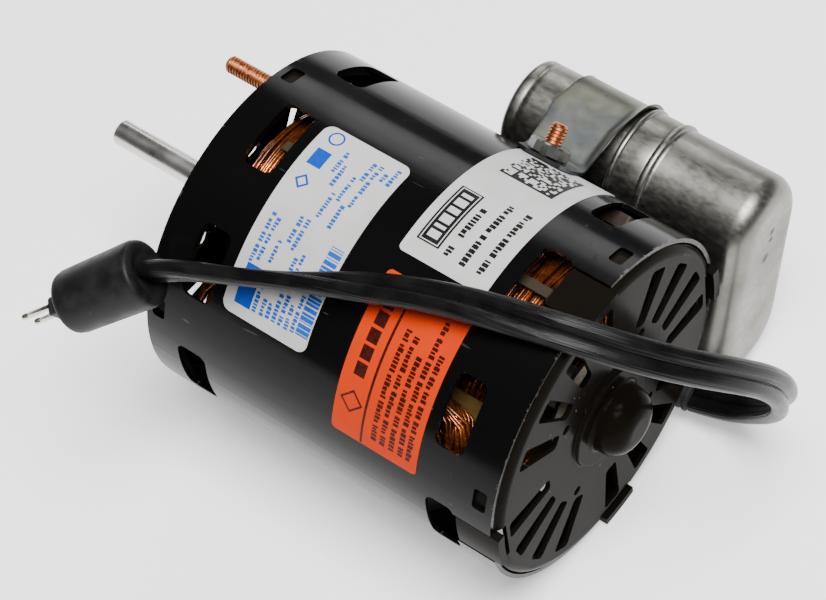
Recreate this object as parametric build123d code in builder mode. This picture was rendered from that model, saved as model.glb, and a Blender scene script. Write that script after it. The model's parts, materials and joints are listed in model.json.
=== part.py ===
"""Blower motor of the 3.3 inch frame, with a strapped oval run capacitor and a short plug-in cord.

Millimetres. +X runs out along the shaft, +Z is up with the motor lying on its side. The origin is on the
shaft axis, in the plane of the front bell's mounting face. Angles are degrees about +X, from +Y towards +Z.
"""
from build123d import *
from math import asin, atan2, cos, pi, radians, sin, sqrt, tan
import os

os.makedirs("parts", exist_ok=True)

# ---- driving dimensions -------------------------------------------------------------------------------
SHELL_R = 41.9                # outside of the drawn shell
SHELL_WALL = 1.0
SHELL_LENGTH = 95.0
BELL_STEP = 1.2               # how far each bell's face stands out of the shell
BELL_WALL = 1.2
FRONT_RIM = -BELL_STEP
REAR_RIM = FRONT_RIM - SHELL_LENGTH
REAR_FACE = REAR_RIM - BELL_STEP
SKIRT_R = SHELL_R - SHELL_WALL - 0.02
SKIRT_LENGTH = 9.7

STUD_ANGLES = [20, 110, 200, 290]
STUD_CIRCLE_R = 35.95         # 2.83 inch bolt circle
STUD_R = 2.085                # number 8 screw
STUD_TIP = 13.2
STUD_SHANK_R = 2.3            # the plain shank that sits in the bell

VENT_ANGLES = [42.5 + 45 * k for k in range(8)]
VENT_WIDTH = 17.4
NOTCH_ANGLES = [0, 90, 180, 270]
NOTCH_WIDTH = 11.4

SHAFT_R = 3.175               # quarter inch
BEARING_BORE_R = SHAFT_R + 0.03
SHAFT_TIP = 43.5
CORE_FRONT = -28.7
CORE_REAR = -68.7
CORE_R = 40.75
BORE_R = 20.5
ROTOR_R = 20.2
SLOTS = 24
SLOT_PITCH = 360 / SLOTS

CAP_ANGLE = 194.29            # so that the shell and the capacitor both touch the surface they lie on
CAP_HALF_LONG = 28.6          # cover, outside
CAP_HALF_THICK = 13.4
CAP_CENTRE_R = 55.8
COVER_WALL = 0.6
CAN_HALF_LONG = 27.3
CAN_HALF_THICK = 12.1
COVER_REAR = -101.2
COVER_BEAD = -72.7
COVER_RIM = -63.9
CAN_FRONT = -34.2
CAN_REAR = -84.0
STRAP_WALL = 0.8
STRAP_X = (-63.2, -45.4)
STRAP_STUD_X = -57.0
STRAP_STUD_ANGLE = 145.0
STRAP_FOOT_R = SHELL_R + 0.2

LABEL_WALL = 0.12
CORD_R = 2.2                  # round stand-in for a flat cord 7.9 wide and 4.0 thick
GROMMET_ANGLE = 228.0
GROMMET_R = 45.8


# ---- helpers ------------------------------------------------------------------------------------------
def polar(radius, angle):
    """(Y, Z) of a point at a radius and an angle about the shaft axis."""
    return (radius * cos(radians(angle)), radius * sin(radians(angle)))


def section(x):
    """A sketch plane across the shaft at x, whose local axes are +Y and +Z."""
    return Plane(origin=(x, 0, 0), x_dir=(0, 1, 0), z_dir=(1, 0, 0))


def radial_plane(x, radius, angle):
    """A plane facing outwards at an angle, with local x along the shaft."""
    y, z = polar(radius, angle)
    return Plane(origin=(x, y, z), x_dir=(1, 0, 0), z_dir=(0, cos(radians(angle)), sin(radians(angle))))


def finish(part, name):
    """Labels a finished piece and writes it."""
    part.label = name
    export_step(part, f"parts/{name}.step")


def sector_sketch(inner, outer, start, stop):
    """An annular sector on the active sketch plane, from angle start to angle stop."""
    middle = (start + stop) / 2
    with BuildLine() as outline:
        ThreePointArc(polar(outer, start), polar(outer, middle), polar(outer, stop))
        Line(polar(outer, stop), polar(inner, stop))
        ThreePointArc(polar(inner, stop), polar(inner, middle), polar(inner, start))
        Line(polar(inner, start), polar(outer, start))
    make_face(outline.edges())


def add_sector(x0, x1, inner, outer, start, stop, mode=Mode.ADD):
    """Extrudes an annular sector between two places along the shaft into the active part."""
    with BuildSketch(section(min(x0, x1))) as profile:
        sector_sketch(inner, outer, start, stop)
    extrude(profile.sketch, amount=abs(x1 - x0), mode=mode)


def add_ring(x0, x1, inner, outer, mode=Mode.ADD):
    """Extrudes a ring about the shaft axis into the active part."""
    with BuildSketch(section(min(x0, x1))) as profile:
        Circle(outer)
        if inner > 0:
            Circle(inner, mode=Mode.SUBTRACT)
    extrude(profile.sketch, amount=abs(x1 - x0), mode=mode)


def cut_radial(x, angle, length, width, corner, from_r=SHELL_R - 6, depth=9):
    """Cuts a rounded rectangular opening radially through a wall: length along the shaft, width around it."""
    with BuildSketch(radial_plane(x, from_r, angle)) as opening:
        RectangleRounded(length, width, corner)
    extrude(opening.sketch, amount=depth, mode=Mode.SUBTRACT)


# ---- shell --------------------------------------------------------------------------------------------
FRONT_VENT_X = FRONT_RIM - 12.6
FRONT_VENT_LENGTH = 8.0
REAR_VENT_X = REAR_RIM + 13.45
REAR_VENT_LENGTH = 7.5
LANCE_SIZE = (3.4, 5.5)
CAP_LEAD_X = REAR_RIM + 4.4
CAP_LEAD_HOLE_R = 3.0

with BuildPart() as shell:
    add_ring(REAR_RIM, FRONT_RIM, SHELL_R - SHELL_WALL, SHELL_R)
    for vent_angle in VENT_ANGLES:
        cut_radial(FRONT_VENT_X, vent_angle, FRONT_VENT_LENGTH, VENT_WIDTH, 2.0)
        cut_radial(REAR_VENT_X, vent_angle, REAR_VENT_LENGTH, VENT_WIDTH, 2.0)
    for notch_angle in NOTCH_ANGLES:
        cut_radial(REAR_RIM + 3.0, notch_angle, 15.0, NOTCH_WIDTH, 1.0)
    for stud_angle in STUD_ANGLES:
        cut_radial(FRONT_RIM - 3.3, stud_angle, *LANCE_SIZE, 0.8)
        cut_radial(REAR_RIM + 3.55, stud_angle, *LANCE_SIZE, 0.8)
    with BuildSketch(radial_plane(CAP_LEAD_X, SHELL_R - 4, CAP_ANGLE)):
        Circle(CAP_LEAD_HOLE_R)
    extrude(amount=6, mode=Mode.SUBTRACT)
finish(shell.part, "shell")


# ---- end bells ----------------------------------------------------------------------------------------
BOSS_ARC = 0.45               # both corners of the low step round the dome


def bell_outline(dome_height, dome_r, dome_arc, inset):
    """Half section of a stamped bell as (outward distance, radius), moved in by inset, with its arcs.

    The outline runs from the dome's middle, down its side, over the boss, across the face and along the
    skirt. The large corners shrink with the inset where they bulge out, and grow where they are hollow.
    """
    boss_height, boss_r = 1.0, 13.0
    end = -SKIRT_LENGTH - (1 if inset else 0)
    corners = [
        (dome_height - inset, dome_r - inset, dome_arc - inset),
        (boss_height - inset, dome_r - inset, 1.0 + inset),
        (boss_height - inset, boss_r - inset, BOSS_ARC),
        (-inset, boss_r - inset, BOSS_ARC),
        (-inset, SKIRT_R - inset, 2.6 - inset),
    ]
    return (dome_height - inset, end, corners)


def bell_solid(face_x, outward, dome_height, dome_r, dome_arc, inset):
    """Revolves one bell outline about the shaft. outward is +1 at the front and -1 at the rear."""
    top, end, corners = bell_outline(dome_height, dome_r, dome_arc, inset)
    with BuildPart() as solid:
        with BuildSketch(Plane.XY):
            with BuildLine():
                path = [(top, 0)] + [(u, r) for u, r, _ in corners] + [(end, corners[-1][1])]
                points = [(face_x + outward * u, r) for u, r in path]
                FilletPolyline(*points, radius=[arc for _, _, arc in corners])
                Polyline(points[-1], (points[-1][0], 0), points[0])
            make_face()
        revolve(axis=Axis.X)
    return solid.part


VENT_GROUPS = [-26, 64, 154, 244]           # middles of the four groups of openings in each bell
VENT_OFFSETS = [-28.5, -9.5, 9.5, 28.5]
BELL_VENT_INNER = 22.0
BELL_VENT_OUTER = 36.5


def cut_bell_vents(face_x):
    """Cuts the sixteen tapered radial openings through a bell's face."""
    for group in VENT_GROUPS:
        for offset in VENT_OFFSETS:
            with BuildSketch(section(face_x - 3)) as opening:
                with BuildLine():
                    spoke = group + offset
                    inner_half, outer_half = 1.9, 2.85
                    corners = [
                        (BELL_VENT_INNER, -inner_half), (BELL_VENT_OUTER, -outer_half),
                        (BELL_VENT_OUTER, outer_half), (BELL_VENT_INNER, inner_half),
                    ]
                    turned = [Vector(*corner).rotate(Axis.Z, spoke) for corner in corners]
                    Polyline(*turned, close=True)
                make_face()
                fillet(opening.vertices(), 1.1)
            extrude(opening.sketch, amount=6, mode=Mode.SUBTRACT)


def cut_stamped_holes(face_x):
    """Cuts the four small tooling holes in a bell's face."""
    with BuildSketch(section(face_x - 3)) as holes:
        with PolarLocations(19.9, 4, start_angle=42):
            Circle(1.2)
    extrude(holes.sketch, amount=6, mode=Mode.SUBTRACT)


REAR_DOME_HEIGHT = 8.2
REAR_DOME_ARC = 5.2
FRONT_DOME_HEIGHT = 5.0
FRONT_DOME_ARC = 1.6
DOME_R = 8.4
SHAFT_HOLE_R = 4.5
LEG_R = SHELL_R - 0.15
LEG_WIDTH = NOTCH_WIDTH - 1.0
LEG_OVERHANG = 0.9            # how far a leg stands out past the rear face



def bell_leg(notch_angle):
    """One tab of the rear bell's skirt, which fills a notch of the shell and stands out past its rim."""
    with BuildPart() as leg:
        add_ring(REAR_FACE - LEG_OVERHANG, REAR_RIM + 9.2, SKIRT_R - BELL_WALL, LEG_R)
        with BuildSketch(radial_plane(REAR_RIM + 4, SHELL_R - 6, notch_angle)) as outline:
            RectangleRounded(16, LEG_WIDTH, 1.2)
        extrude(outline.sketch, amount=9, mode=Mode.INTERSECT)
    return leg.part


rear_outer = bell_solid(REAR_FACE, -1, REAR_DOME_HEIGHT, DOME_R, REAR_DOME_ARC, 0)
rear_inner = bell_solid(REAR_FACE, -1, REAR_DOME_HEIGHT, DOME_R, REAR_DOME_ARC, BELL_WALL)
bell_legs = [bell_leg(notch_angle) for notch_angle in NOTCH_ANGLES]
with BuildPart() as rear_end_bell:
    add(rear_outer)
    add(rear_inner, mode=Mode.SUBTRACT)
    cut_bell_vents(REAR_FACE)
    cut_stamped_holes(REAR_FACE)
    for notch_angle in NOTCH_ANGLES:
        with BuildSketch(radial_plane(REAR_FACE + 0.3, SHELL_R - 4.4, notch_angle)):
            Rectangle(2.4, LEG_WIDTH + 1.6)
        extrude(amount=6, mode=Mode.SUBTRACT)
    add(bell_legs)
    with BuildSketch(radial_plane(CAP_LEAD_X, SHELL_R - 4, CAP_ANGLE)):
        Circle(CAP_LEAD_HOLE_R)
    extrude(amount=6, mode=Mode.SUBTRACT)
finish(rear_end_bell.part, "rear_end_bell")

front_outer = bell_solid(0, 1, FRONT_DOME_HEIGHT, DOME_R, FRONT_DOME_ARC, 0)
front_inner = bell_solid(0, 1, FRONT_DOME_HEIGHT, DOME_R, FRONT_DOME_ARC, BELL_WALL)
with BuildPart() as front_end_bell:
    add(front_outer)
    add(front_inner, mode=Mode.SUBTRACT)
    cut_bell_vents(0)
    cut_stamped_holes(0)
    add_ring(-2, FRONT_DOME_HEIGHT + 1, 0, SHAFT_HOLE_R, mode=Mode.SUBTRACT)
    with BuildSketch(section(-3)):
        with PolarLocations(STUD_CIRCLE_R, len(STUD_ANGLES), start_angle=STUD_ANGLES[0]):
            Circle(STUD_SHANK_R + 0.06)
    extrude(amount=6, mode=Mode.SUBTRACT)
finish(front_end_bell.part, "front_end_bell")


# ---- mounting studs: shank through the front bell, flat head caught behind it --------------------------
HEAD_R = 3.4
HEAD_HEIGHT = 2.0
HEAD_TRIM_R = 38.1            # the heads are cut to this radius about the shaft, to clear the bell's corner

with BuildPart() as mounting_studs:
    with BuildSketch(section(0)):
        with PolarLocations(STUD_CIRCLE_R, len(STUD_ANGLES), start_angle=STUD_ANGLES[0]):
            Circle(STUD_R)
    extrude(amount=STUD_TIP)
    chamfer(mounting_studs.faces().group_by(Axis.X)[-1].edges(), 0.5)
    with BuildSketch(section(-BELL_WALL)):
        with PolarLocations(STUD_CIRCLE_R, len(STUD_ANGLES), start_angle=STUD_ANGLES[0]):
            Circle(STUD_SHANK_R)
    extrude(amount=BELL_WALL)
    with BuildSketch(section(-BELL_WALL - HEAD_HEIGHT)):
        with PolarLocations(STUD_CIRCLE_R, len(STUD_ANGLES), start_angle=STUD_ANGLES[0]):
            Circle(HEAD_R)
        Circle(HEAD_TRIM_R, mode=Mode.INTERSECT)
    extrude(amount=HEAD_HEIGHT)
finish(mounting_studs.part, "mounting_studs")


# ---- bearings and their fittings ------------------------------------------------------------------------
BEARING_BALL_R = 6.9
BEARING_HALF = 4.3
REAR_BEARING_X = REAR_FACE - 0.9
FRONT_BEARING_X = -1.0


def make_bearing(x, name):
    """A self-aligning sintered bearing: the middle zone of a ball, bored for the journal."""
    with BuildPart() as bearing:
        with Locations((x, 0, 0)):
            Sphere(BEARING_BALL_R)
        with BuildSketch(section(x - BEARING_HALF)):
            Circle(BEARING_BALL_R + 1)
        extrude(amount=2 * BEARING_HALF, mode=Mode.INTERSECT)
        add_ring(x - BEARING_HALF - 1, x + BEARING_HALF + 1, 0, BEARING_BORE_R, mode=Mode.SUBTRACT)
    finish(bearing.part, name)


def revolve_profile(points):
    """Turns a closed outline of (x, radius) points about the shaft axis."""
    with BuildPart() as turned:
        with BuildSketch(Plane.XY):
            with BuildLine():
                Polyline(*points, close=True)
            make_face()
        revolve(axis=Axis.X)
    return turned.part


def make_retainer(face_x, outward, bearing_x, name):
    """A dished spring washer, spot-welded inside the bell, that presses the bearing into its seat."""
    lip = -2.8
    to_ball = outward * (bearing_x - face_x) - lip
    lip_r = sqrt(BEARING_BALL_R**2 - to_ball**2) + 0.05
    profile = [(-1.25, 15.5), (-1.85, 15.5), (-1.85, 11.0), (lip - 0.6, lip_r), (lip, lip_r), (-1.25, 10.8)]
    finish(revolve_profile([(face_x + outward * u, r) for u, r in profile]), name)


def make_wick(face_x, outward, name):
    """The felt ring that feeds oil to the bearing."""
    with BuildPart() as wick:
        add_ring(face_x - outward * 3.6, face_x - outward * 6.4, 7.2, 12.5)
    finish(wick.part, name)


make_bearing(REAR_BEARING_X, "rear_bearing")
make_bearing(FRONT_BEARING_X, "front_bearing")
make_retainer(REAR_FACE, -1, REAR_BEARING_X, "rear_bearing_retainer")
make_retainer(0, 1, FRONT_BEARING_X, "front_bearing_retainer")
make_wick(REAR_FACE, -1, "rear_oil_wick")
make_wick(0, 1, "front_oil_wick")


# ---- rotor ----------------------------------------------------------------------------------------------
SEAT_R = 5.0
SHAFT_CHAMFER = 0.6
GROOVE_X = (4.4, 5.6)         # clip groove where the shaft leaves the front bell
GROOVE_R = 2.6
SHAFT_REAR = REAR_FACE - 5.6
BARS = 28
BAR_R = 1.35
BAR_CIRCLE_R = 17.9
END_RING = 5.0

with BuildPart() as shaft:
    with BuildSketch(Plane.XY):
        with BuildLine():
            Polyline(
                (SHAFT_REAR, 0), (SHAFT_REAR, SHAFT_R - SHAFT_CHAMFER), (SHAFT_REAR + SHAFT_CHAMFER, SHAFT_R),
                (CORE_REAR - END_RING, SHAFT_R), (CORE_REAR - END_RING, SEAT_R),
                (CORE_FRONT + END_RING, SEAT_R), (CORE_FRONT + END_RING, SHAFT_R),
                (GROOVE_X[0], SHAFT_R), (GROOVE_X[0], GROOVE_R), (GROOVE_X[1], GROOVE_R), (GROOVE_X[1], SHAFT_R),
                (SHAFT_TIP - SHAFT_CHAMFER, SHAFT_R), (SHAFT_TIP, SHAFT_R - SHAFT_CHAMFER), (SHAFT_TIP, 0),
                close=True,
            )
        make_face()
    revolve(axis=Axis.X)
finish(shaft.part, "shaft")

with BuildPart() as rotor_core:
    add_ring(CORE_REAR, CORE_FRONT, SEAT_R + 0.02, ROTOR_R)
    with BuildSketch(section(CORE_REAR)):
        with PolarLocations(BAR_CIRCLE_R, BARS):
            Circle(BAR_R + 0.02)
    extrude(amount=CORE_FRONT - CORE_REAR, mode=Mode.SUBTRACT)
finish(rotor_core.part, "rotor_core")

with BuildPart() as rotor_cage:
    with BuildSketch(section(CORE_REAR)):
        with PolarLocations(BAR_CIRCLE_R, BARS):
            Circle(BAR_R)
    extrude(amount=CORE_FRONT - CORE_REAR)
    add_ring(CORE_REAR - END_RING, CORE_REAR, 11.5, ROTOR_R - 0.4)
    add_ring(CORE_FRONT, CORE_FRONT + END_RING, 11.5, ROTOR_R - 0.4)
    for side_x in (CORE_REAR - END_RING - 3.0, CORE_FRONT + END_RING):
        with BuildSketch(section(side_x)):
            with PolarLocations(16.0, 7):
                Circle(1.3)
        extrude(amount=3.0)
finish(rotor_cage.part, "rotor_cage")

REAR_THRUST_X = REAR_BEARING_X + BEARING_HALF + 0.3
FRONT_THRUST_X = FRONT_BEARING_X - BEARING_HALF - 0.3
WASHER = 0.8

with BuildPart() as thrust_washers:
    add_ring(REAR_THRUST_X, REAR_THRUST_X + WASHER, SHAFT_R + 0.1, 6.2)
    add_ring(FRONT_THRUST_X - WASHER, FRONT_THRUST_X, SHAFT_R + 0.1, 6.2)
finish(thrust_washers.part, "thrust_washers")

with BuildPart() as thrust_sleeves:
    add_ring(REAR_THRUST_X + WASHER, CORE_REAR - END_RING, SHAFT_R + 0.05, 5.2)
    add_ring(CORE_FRONT + END_RING, FRONT_THRUST_X - WASHER, SHAFT_R + 0.05, 5.2)
finish(thrust_sleeves.part, "thrust_sleeves")

with BuildPart() as oil_slingers:
    add_ring(REAR_THRUST_X + 4.0, REAR_THRUST_X + 4.8, 5.25, 9.5)
    add_ring(FRONT_THRUST_X - 4.8, FRONT_THRUST_X - 4.0, 5.25, 9.5)
finish(oil_slingers.part, "oil_slingers")


# ---- stator ---------------------------------------------------------------------------------------------
SLOT_INNER = 22.6
SLOT_OUTER = 34.6
SLOT_HALF_INNER = 4.2         # half the slot's angle at its mouth end, degrees
SLOT_HALF_OUTER = 4.6
MOUTH_HALF = 2.2
LINER_WALL = 0.35
LINER_OVERHANG = 1.5
SLOT_ANGLES = [SLOT_PITCH * (k + 0.5) for k in range(SLOTS)]


def slot_face(angle, inset, inner=SLOT_INNER, outer=SLOT_OUTER):
    """One slot's outline on the active sketch, moved in by inset on every side."""
    half_in = inner * tan(radians(SLOT_HALF_INNER)) - inset
    half_out = outer * tan(radians(SLOT_HALF_OUTER)) - inset
    corners = [
        (inner + inset, -half_in), (outer - inset, -half_out), (outer - inset, half_out), (inner + inset, half_in),
    ]
    with BuildLine() as outline:
        Polyline(*[Vector(*corner).rotate(Axis.Z, angle) for corner in corners], close=True)
    make_face(outline.edges())


with BuildPart() as stator_core:
    add_ring(CORE_REAR, CORE_FRONT, BORE_R, CORE_R)
    with BuildSketch(section(CORE_REAR)):
        for slot_angle in SLOT_ANGLES:
            slot_face(slot_angle, 0)
            with Locations(Rot(0, 0, slot_angle) * Pos((BORE_R + SLOT_INNER) / 2, 0)):
                Rectangle(SLOT_INNER - BORE_R + 2.0, 2 * MOUTH_HALF)
    extrude(amount=CORE_FRONT - CORE_REAR, mode=Mode.SUBTRACT)
finish(stator_core.part, "stator_core")

with BuildPart() as slot_liners:
    with BuildSketch(section(CORE_REAR - LINER_OVERHANG)):
        for slot_angle in SLOT_ANGLES:
            slot_face(slot_angle, 0.03)
    extrude(amount=CORE_FRONT - CORE_REAR + 2 * LINER_OVERHANG)
    with BuildSketch(section(CORE_REAR - LINER_OVERHANG)):
        for slot_angle in SLOT_ANGLES:
            slot_face(slot_angle, LINER_WALL + 0.03)
    extrude(amount=CORE_FRONT - CORE_REAR + 2 * LINER_OVERHANG, mode=Mode.SUBTRACT)
finish(slot_liners.part, "slot_liners")

SLOT_WIRE_INSET = LINER_WALL + 0.15
WIRE_OVERHANG = LINER_OVERHANG + 0.1
MAIN_RADII = (29.4, 35.6)     # where the main coils' end turns lie
START_RADII = (22.7, 28.2)
LEG_HALF = 3.3                # half the angle of a coil's side beyond the slot liner


def add_coil(centre, half_span, radii, near, far):
    """One coil: two slot sides and an end turn at each end, between near and far from the core's ends."""
    for side in (-1, 1):
        slot_angle = centre + side * half_span
        with BuildSketch(section(CORE_REAR - WIRE_OVERHANG)) as slot:
            slot_face(slot_angle, SLOT_WIRE_INSET)
        extrude(slot.sketch, amount=CORE_FRONT - CORE_REAR + 2 * WIRE_OVERHANG)
    for core_end, outward in ((CORE_FRONT, 1), (CORE_REAR, -1)):
        for side in (-1, 1):
            slot_angle = centre + side * half_span
            bend = core_end + outward * WIRE_OVERHANG
            add_sector(bend, core_end + outward * far, *radii, slot_angle - LEG_HALF, slot_angle + LEG_HALF)
        start, stop = centre - half_span, centre + half_span
        add_sector(core_end + outward * near, core_end + outward * far, *radii, start, stop)


COIL_CENTRES = [0, 90, 180, 270]
with BuildPart() as main_windings:
    for coil_centre in COIL_CENTRES:
        add_coil(coil_centre, 37.5, MAIN_RADII, 9.0, 15.0)
        add_coil(coil_centre, 22.5, MAIN_RADII, 2.4, 8.2)
finish(main_windings.part, "main_windings")

with BuildPart() as start_windings:
    for coil_centre in COIL_CENTRES:
        add_coil(coil_centre + 45, 37.5, START_RADII, 2.4, 12.5)
finish(start_windings.part, "start_windings")

TIE_ANGLES = [0, 90, 180, 270]
TIE_WALL = 0.5


def add_tie(x0, x1, angle):
    """A flat tie cord round one bundle of end turns."""
    gap = 0.15
    inner, outer = MAIN_RADII[0] - gap, MAIN_RADII[1] + gap
    low, high = min(x0, x1) - gap, max(x0, x1) + gap
    tangent = (0, sin(radians(angle)), -cos(radians(angle)))
    with BuildSketch(Plane(origin=(0, 0, 0), x_dir=(1, 0, 0), z_dir=tangent)) as loop:
        with Locations(((low + high) / 2, (inner + outer) / 2)):
            Rectangle(high - low + 2 * TIE_WALL, outer - inner + 2 * TIE_WALL)
            Rectangle(high - low, outer - inner, mode=Mode.SUBTRACT)
    extrude(loop.sketch, amount=1.2, both=True)


with BuildPart() as winding_ties:
    for tie_angle in TIE_ANGLES:
        add_tie(CORE_FRONT + 9.0, CORE_FRONT + 15.0, tie_angle)
        add_tie(CORE_REAR - 9.0, CORE_REAR - 15.0, tie_angle)
finish(winding_ties.part, "winding_ties")

FILM_RADII = (28.36, 28.64)   # between the start coils and the main coils
FILM_HALF_SPAN = 41.0
FILM_X = (1.8, 16.2)          # from the core's end
with BuildPart() as phase_insulation:
    for core_end, outward in ((CORE_FRONT, 1), (CORE_REAR, -1)):
        near_x, far_x = core_end + outward * FILM_X[0], core_end + outward * FILM_X[1]
        for coil_centre in COIL_CENTRES:
            add_sector(near_x, far_x, *FILM_RADII, coil_centre - FILM_HALF_SPAN, coil_centre + FILM_HALF_SPAN)
finish(phase_insulation.part, "phase_insulation")

PROTECTOR_ANGLE = 155.0
with BuildPart() as thermal_protector:
    with BuildSketch(radial_plane(CORE_REAR - 9.5, MAIN_RADII[1] + 0.3, PROTECTOR_ANGLE)):
        RectangleRounded(8.0, 14.0, 1.0)
    extrude(amount=3.4)
finish(thermal_protector.part, "thermal_protector")


# ---- capacitor ------------------------------------------------------------------------------------------
CAP_Y, CAP_Z = polar(CAP_CENTRE_R, CAP_ANGLE)


def cap_plane(x):
    """A sketch plane across the capacitor at x: local x points away from the shaft, local y along the oval."""
    outward = (0, cos(radians(CAP_ANGLE)), sin(radians(CAP_ANGLE)))
    return Plane(origin=(x, CAP_Y, CAP_Z), x_dir=outward, z_dir=(1, 0, 0))


def add_oval(x0, x1, half_long, half_thick, mode=Mode.ADD):
    """Extrudes the capacitor's oval between two places along the shaft."""
    with BuildSketch(cap_plane(min(x0, x1))) as oval:
        SlotOverall(2 * half_long, 2 * half_thick, rotation=90)
    extrude(oval.sketch, amount=abs(x1 - x0), mode=mode)


with BuildPart() as capacitor_can:
    add_oval(CAN_REAR, CAN_FRONT, CAN_HALF_LONG, CAN_HALF_THICK)
    fillet(capacitor_can.faces().sort_by(Axis.X)[-1].edges(), 2.2)
    fillet(capacitor_can.faces().sort_by(Axis.X)[0].edges(), 1.0)
finish(capacitor_can.part, "capacitor_can")

BAND_STEP = 0.6               # the cover's mouth band stands this much prouder than its body
BEAD_HALF = 0.7               # the rolled bead at each end of the band
BODY_HALF_LONG = CAP_HALF_LONG - BAND_STEP
BODY_HALF_THICK = CAP_HALF_THICK - BAND_STEP
BAND_HALF_LONG = BODY_HALF_LONG + 0.2
BAND_HALF_THICK = BODY_HALF_THICK + 0.2
COVER_CORNER = 5.0

with BuildPart() as cover_cavity:
    add_oval(COVER_REAR + COVER_WALL, COVER_RIM, CAN_HALF_LONG + 0.1, CAN_HALF_THICK + 0.1)
    fillet(cover_cavity.faces().sort_by(Axis.X)[0].edges(), COVER_CORNER - COVER_WALL)

with BuildPart() as capacitor_cover:
    add_oval(COVER_REAR, COVER_BEAD, BODY_HALF_LONG, BODY_HALF_THICK)
    fillet(capacitor_cover.faces().sort_by(Axis.X)[0].edges(), COVER_CORNER)
    add_oval(COVER_BEAD, COVER_RIM, BAND_HALF_LONG, BAND_HALF_THICK)
    for bead_x in (COVER_BEAD, COVER_RIM - BEAD_HALF):
        add_oval(bead_x - BEAD_HALF, bead_x + BEAD_HALF, CAP_HALF_LONG, CAP_HALF_THICK)
    add(cover_cavity.part, mode=Mode.SUBTRACT)
    with BuildSketch(radial_plane(CAP_LEAD_X, SHELL_R, CAP_ANGLE)):
        Circle(CAP_LEAD_HOLE_R)
    extrude(amount=5, mode=Mode.SUBTRACT)
finish(capacitor_cover.part, "capacitor_cover")


# ---- capacitor fittings ---------------------------------------------------------------------------------
TERMINAL_S = 10.0             # how far each terminal stands from the oval's middle
TERMINAL_LENGTH = 6.4

with BuildPart() as capacitor_header:
    add_oval(CAN_REAR - 1.6, CAN_REAR, CAN_HALF_LONG - 4, CAN_HALF_THICK - 3)
finish(capacitor_header.part, "capacitor_header")

with BuildPart() as capacitor_terminals:
    with BuildSketch(cap_plane(CAN_REAR - 1.6 - TERMINAL_LENGTH)):
        with Locations((0, -TERMINAL_S), (0, TERMINAL_S)):
            Rectangle(6.3, 0.8)
    extrude(amount=TERMINAL_LENGTH)
finish(capacitor_terminals.part, "capacitor_terminals")

with BuildPart() as lead_bushing:
    with BuildSketch(radial_plane(CAP_LEAD_X, 38.4, CAP_ANGLE)):
        Circle(3.7)
    extrude(amount=1.0)
    with BuildSketch(radial_plane(CAP_LEAD_X, 39.4, CAP_ANGLE)):
        Circle(CAP_LEAD_HOLE_R - 0.1)
    extrude(amount=5.6)
    with BuildSketch(radial_plane(CAP_LEAD_X, 38.4, CAP_ANGLE)):
        Circle(2.1)
    extrude(amount=6.6, mode=Mode.SUBTRACT)
finish(lead_bushing.part, "lead_bushing")


def cap_point(x, outward, along):
    """A point at x, at a distance out from the shaft and a distance along the capacitor's oval."""
    return cap_plane(x).from_local_coords(Vector(outward - CAP_CENTRE_R, along, 0))


def add_wire(points, bend, wire_r):
    """Sweeps a round insulated wire through points, with one bend radius at every corner."""
    with BuildLine() as route:
        FilletPolyline(*points, radius=bend)
    with BuildSketch(Plane(origin=route.line @ 0, z_dir=route.line % 0)) as wire:
        Circle(wire_r)
    sweep(wire.sketch, path=route.line)


with BuildPart() as capacitor_leads:
    for side in (-1, 1):
        beside = side * 0.95
        add_wire(
            [
                cap_point(-76.0, 36.5, beside), cap_point(CAP_LEAD_X, 36.5, beside),
                cap_point(CAP_LEAD_X, 50.0, beside),
                cap_point(CAN_REAR - 1.6 - TERMINAL_LENGTH - 1.0, 55.8, side * (TERMINAL_S - 0.2)),
            ],
            1.6, 0.75,
        )
finish(capacitor_leads.part, "capacitor_leads")


# ---- strap that holds the capacitor -----------------------------------------------------------------------
STRAP_PATH_R = CAN_HALF_THICK + 0.1 + STRAP_WALL / 2
ROUND_CENTRE = CAN_HALF_LONG - CAN_HALF_THICK
LOWER_FOOT_ANGLE = 236.0


def foot_points(angle, back, ahead):
    """Ends of a flat foot that touches the shell at an angle: the free end, and the end by the capacitor."""
    turn = radians(angle - CAP_ANGLE)
    radius = STRAP_FOOT_R + STRAP_WALL / 2
    middle = Vector(radius * cos(turn) - CAP_CENTRE_R, radius * sin(turn))
    sign = 1 if turn < 0 else -1
    towards = Vector(-sin(turn), cos(turn)) * sign
    return middle - towards * back, middle + towards * ahead


def strap_corner(start, centre_y):
    """Where the line from start that grazes one round end of the can meets the line along its far flat."""
    to_centre = Vector(0, centre_y) - start
    side = 1 if centre_y > 0 else -1
    direction = atan2(to_centre.Y, to_centre.X) + side * asin(STRAP_PATH_R / to_centre.length)
    return Vector(STRAP_PATH_R, start.Y + tan(direction) * (STRAP_PATH_R - start.X))


upper_free, upper_bend = foot_points(STRAP_STUD_ANGLE, 4.8, 6.0)
lower_free, lower_bend = foot_points(LOWER_FOOT_ANGLE, 5.0, 4.0)
with BuildPart() as capacitor_strap:
    with BuildSketch(cap_plane(STRAP_X[0])):
        with BuildLine():
            FilletPolyline(
                upper_free, upper_bend, strap_corner(upper_bend, -ROUND_CENTRE),
                strap_corner(lower_bend, ROUND_CENTRE), lower_bend, lower_free,
                radius=[2.0, STRAP_PATH_R, STRAP_PATH_R, 2.0],
            )
        trace(line_width=STRAP_WALL)
    extrude(amount=STRAP_X[1] - STRAP_X[0])
    with BuildSketch(radial_plane(STRAP_STUD_X, SHELL_R - 1, STRAP_STUD_ANGLE)):
        Circle(STUD_R + 0.1)
    extrude(amount=5, mode=Mode.SUBTRACT)
finish(capacitor_strap.part, "capacitor_strap")

STRAP_STUD_TIP = 50.6
NUT_ACROSS_FLATS = 8.7
NUT_HEIGHT = 3.2
NUT_SEAT_R = STRAP_FOOT_R + STRAP_WALL + 0.02

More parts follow.
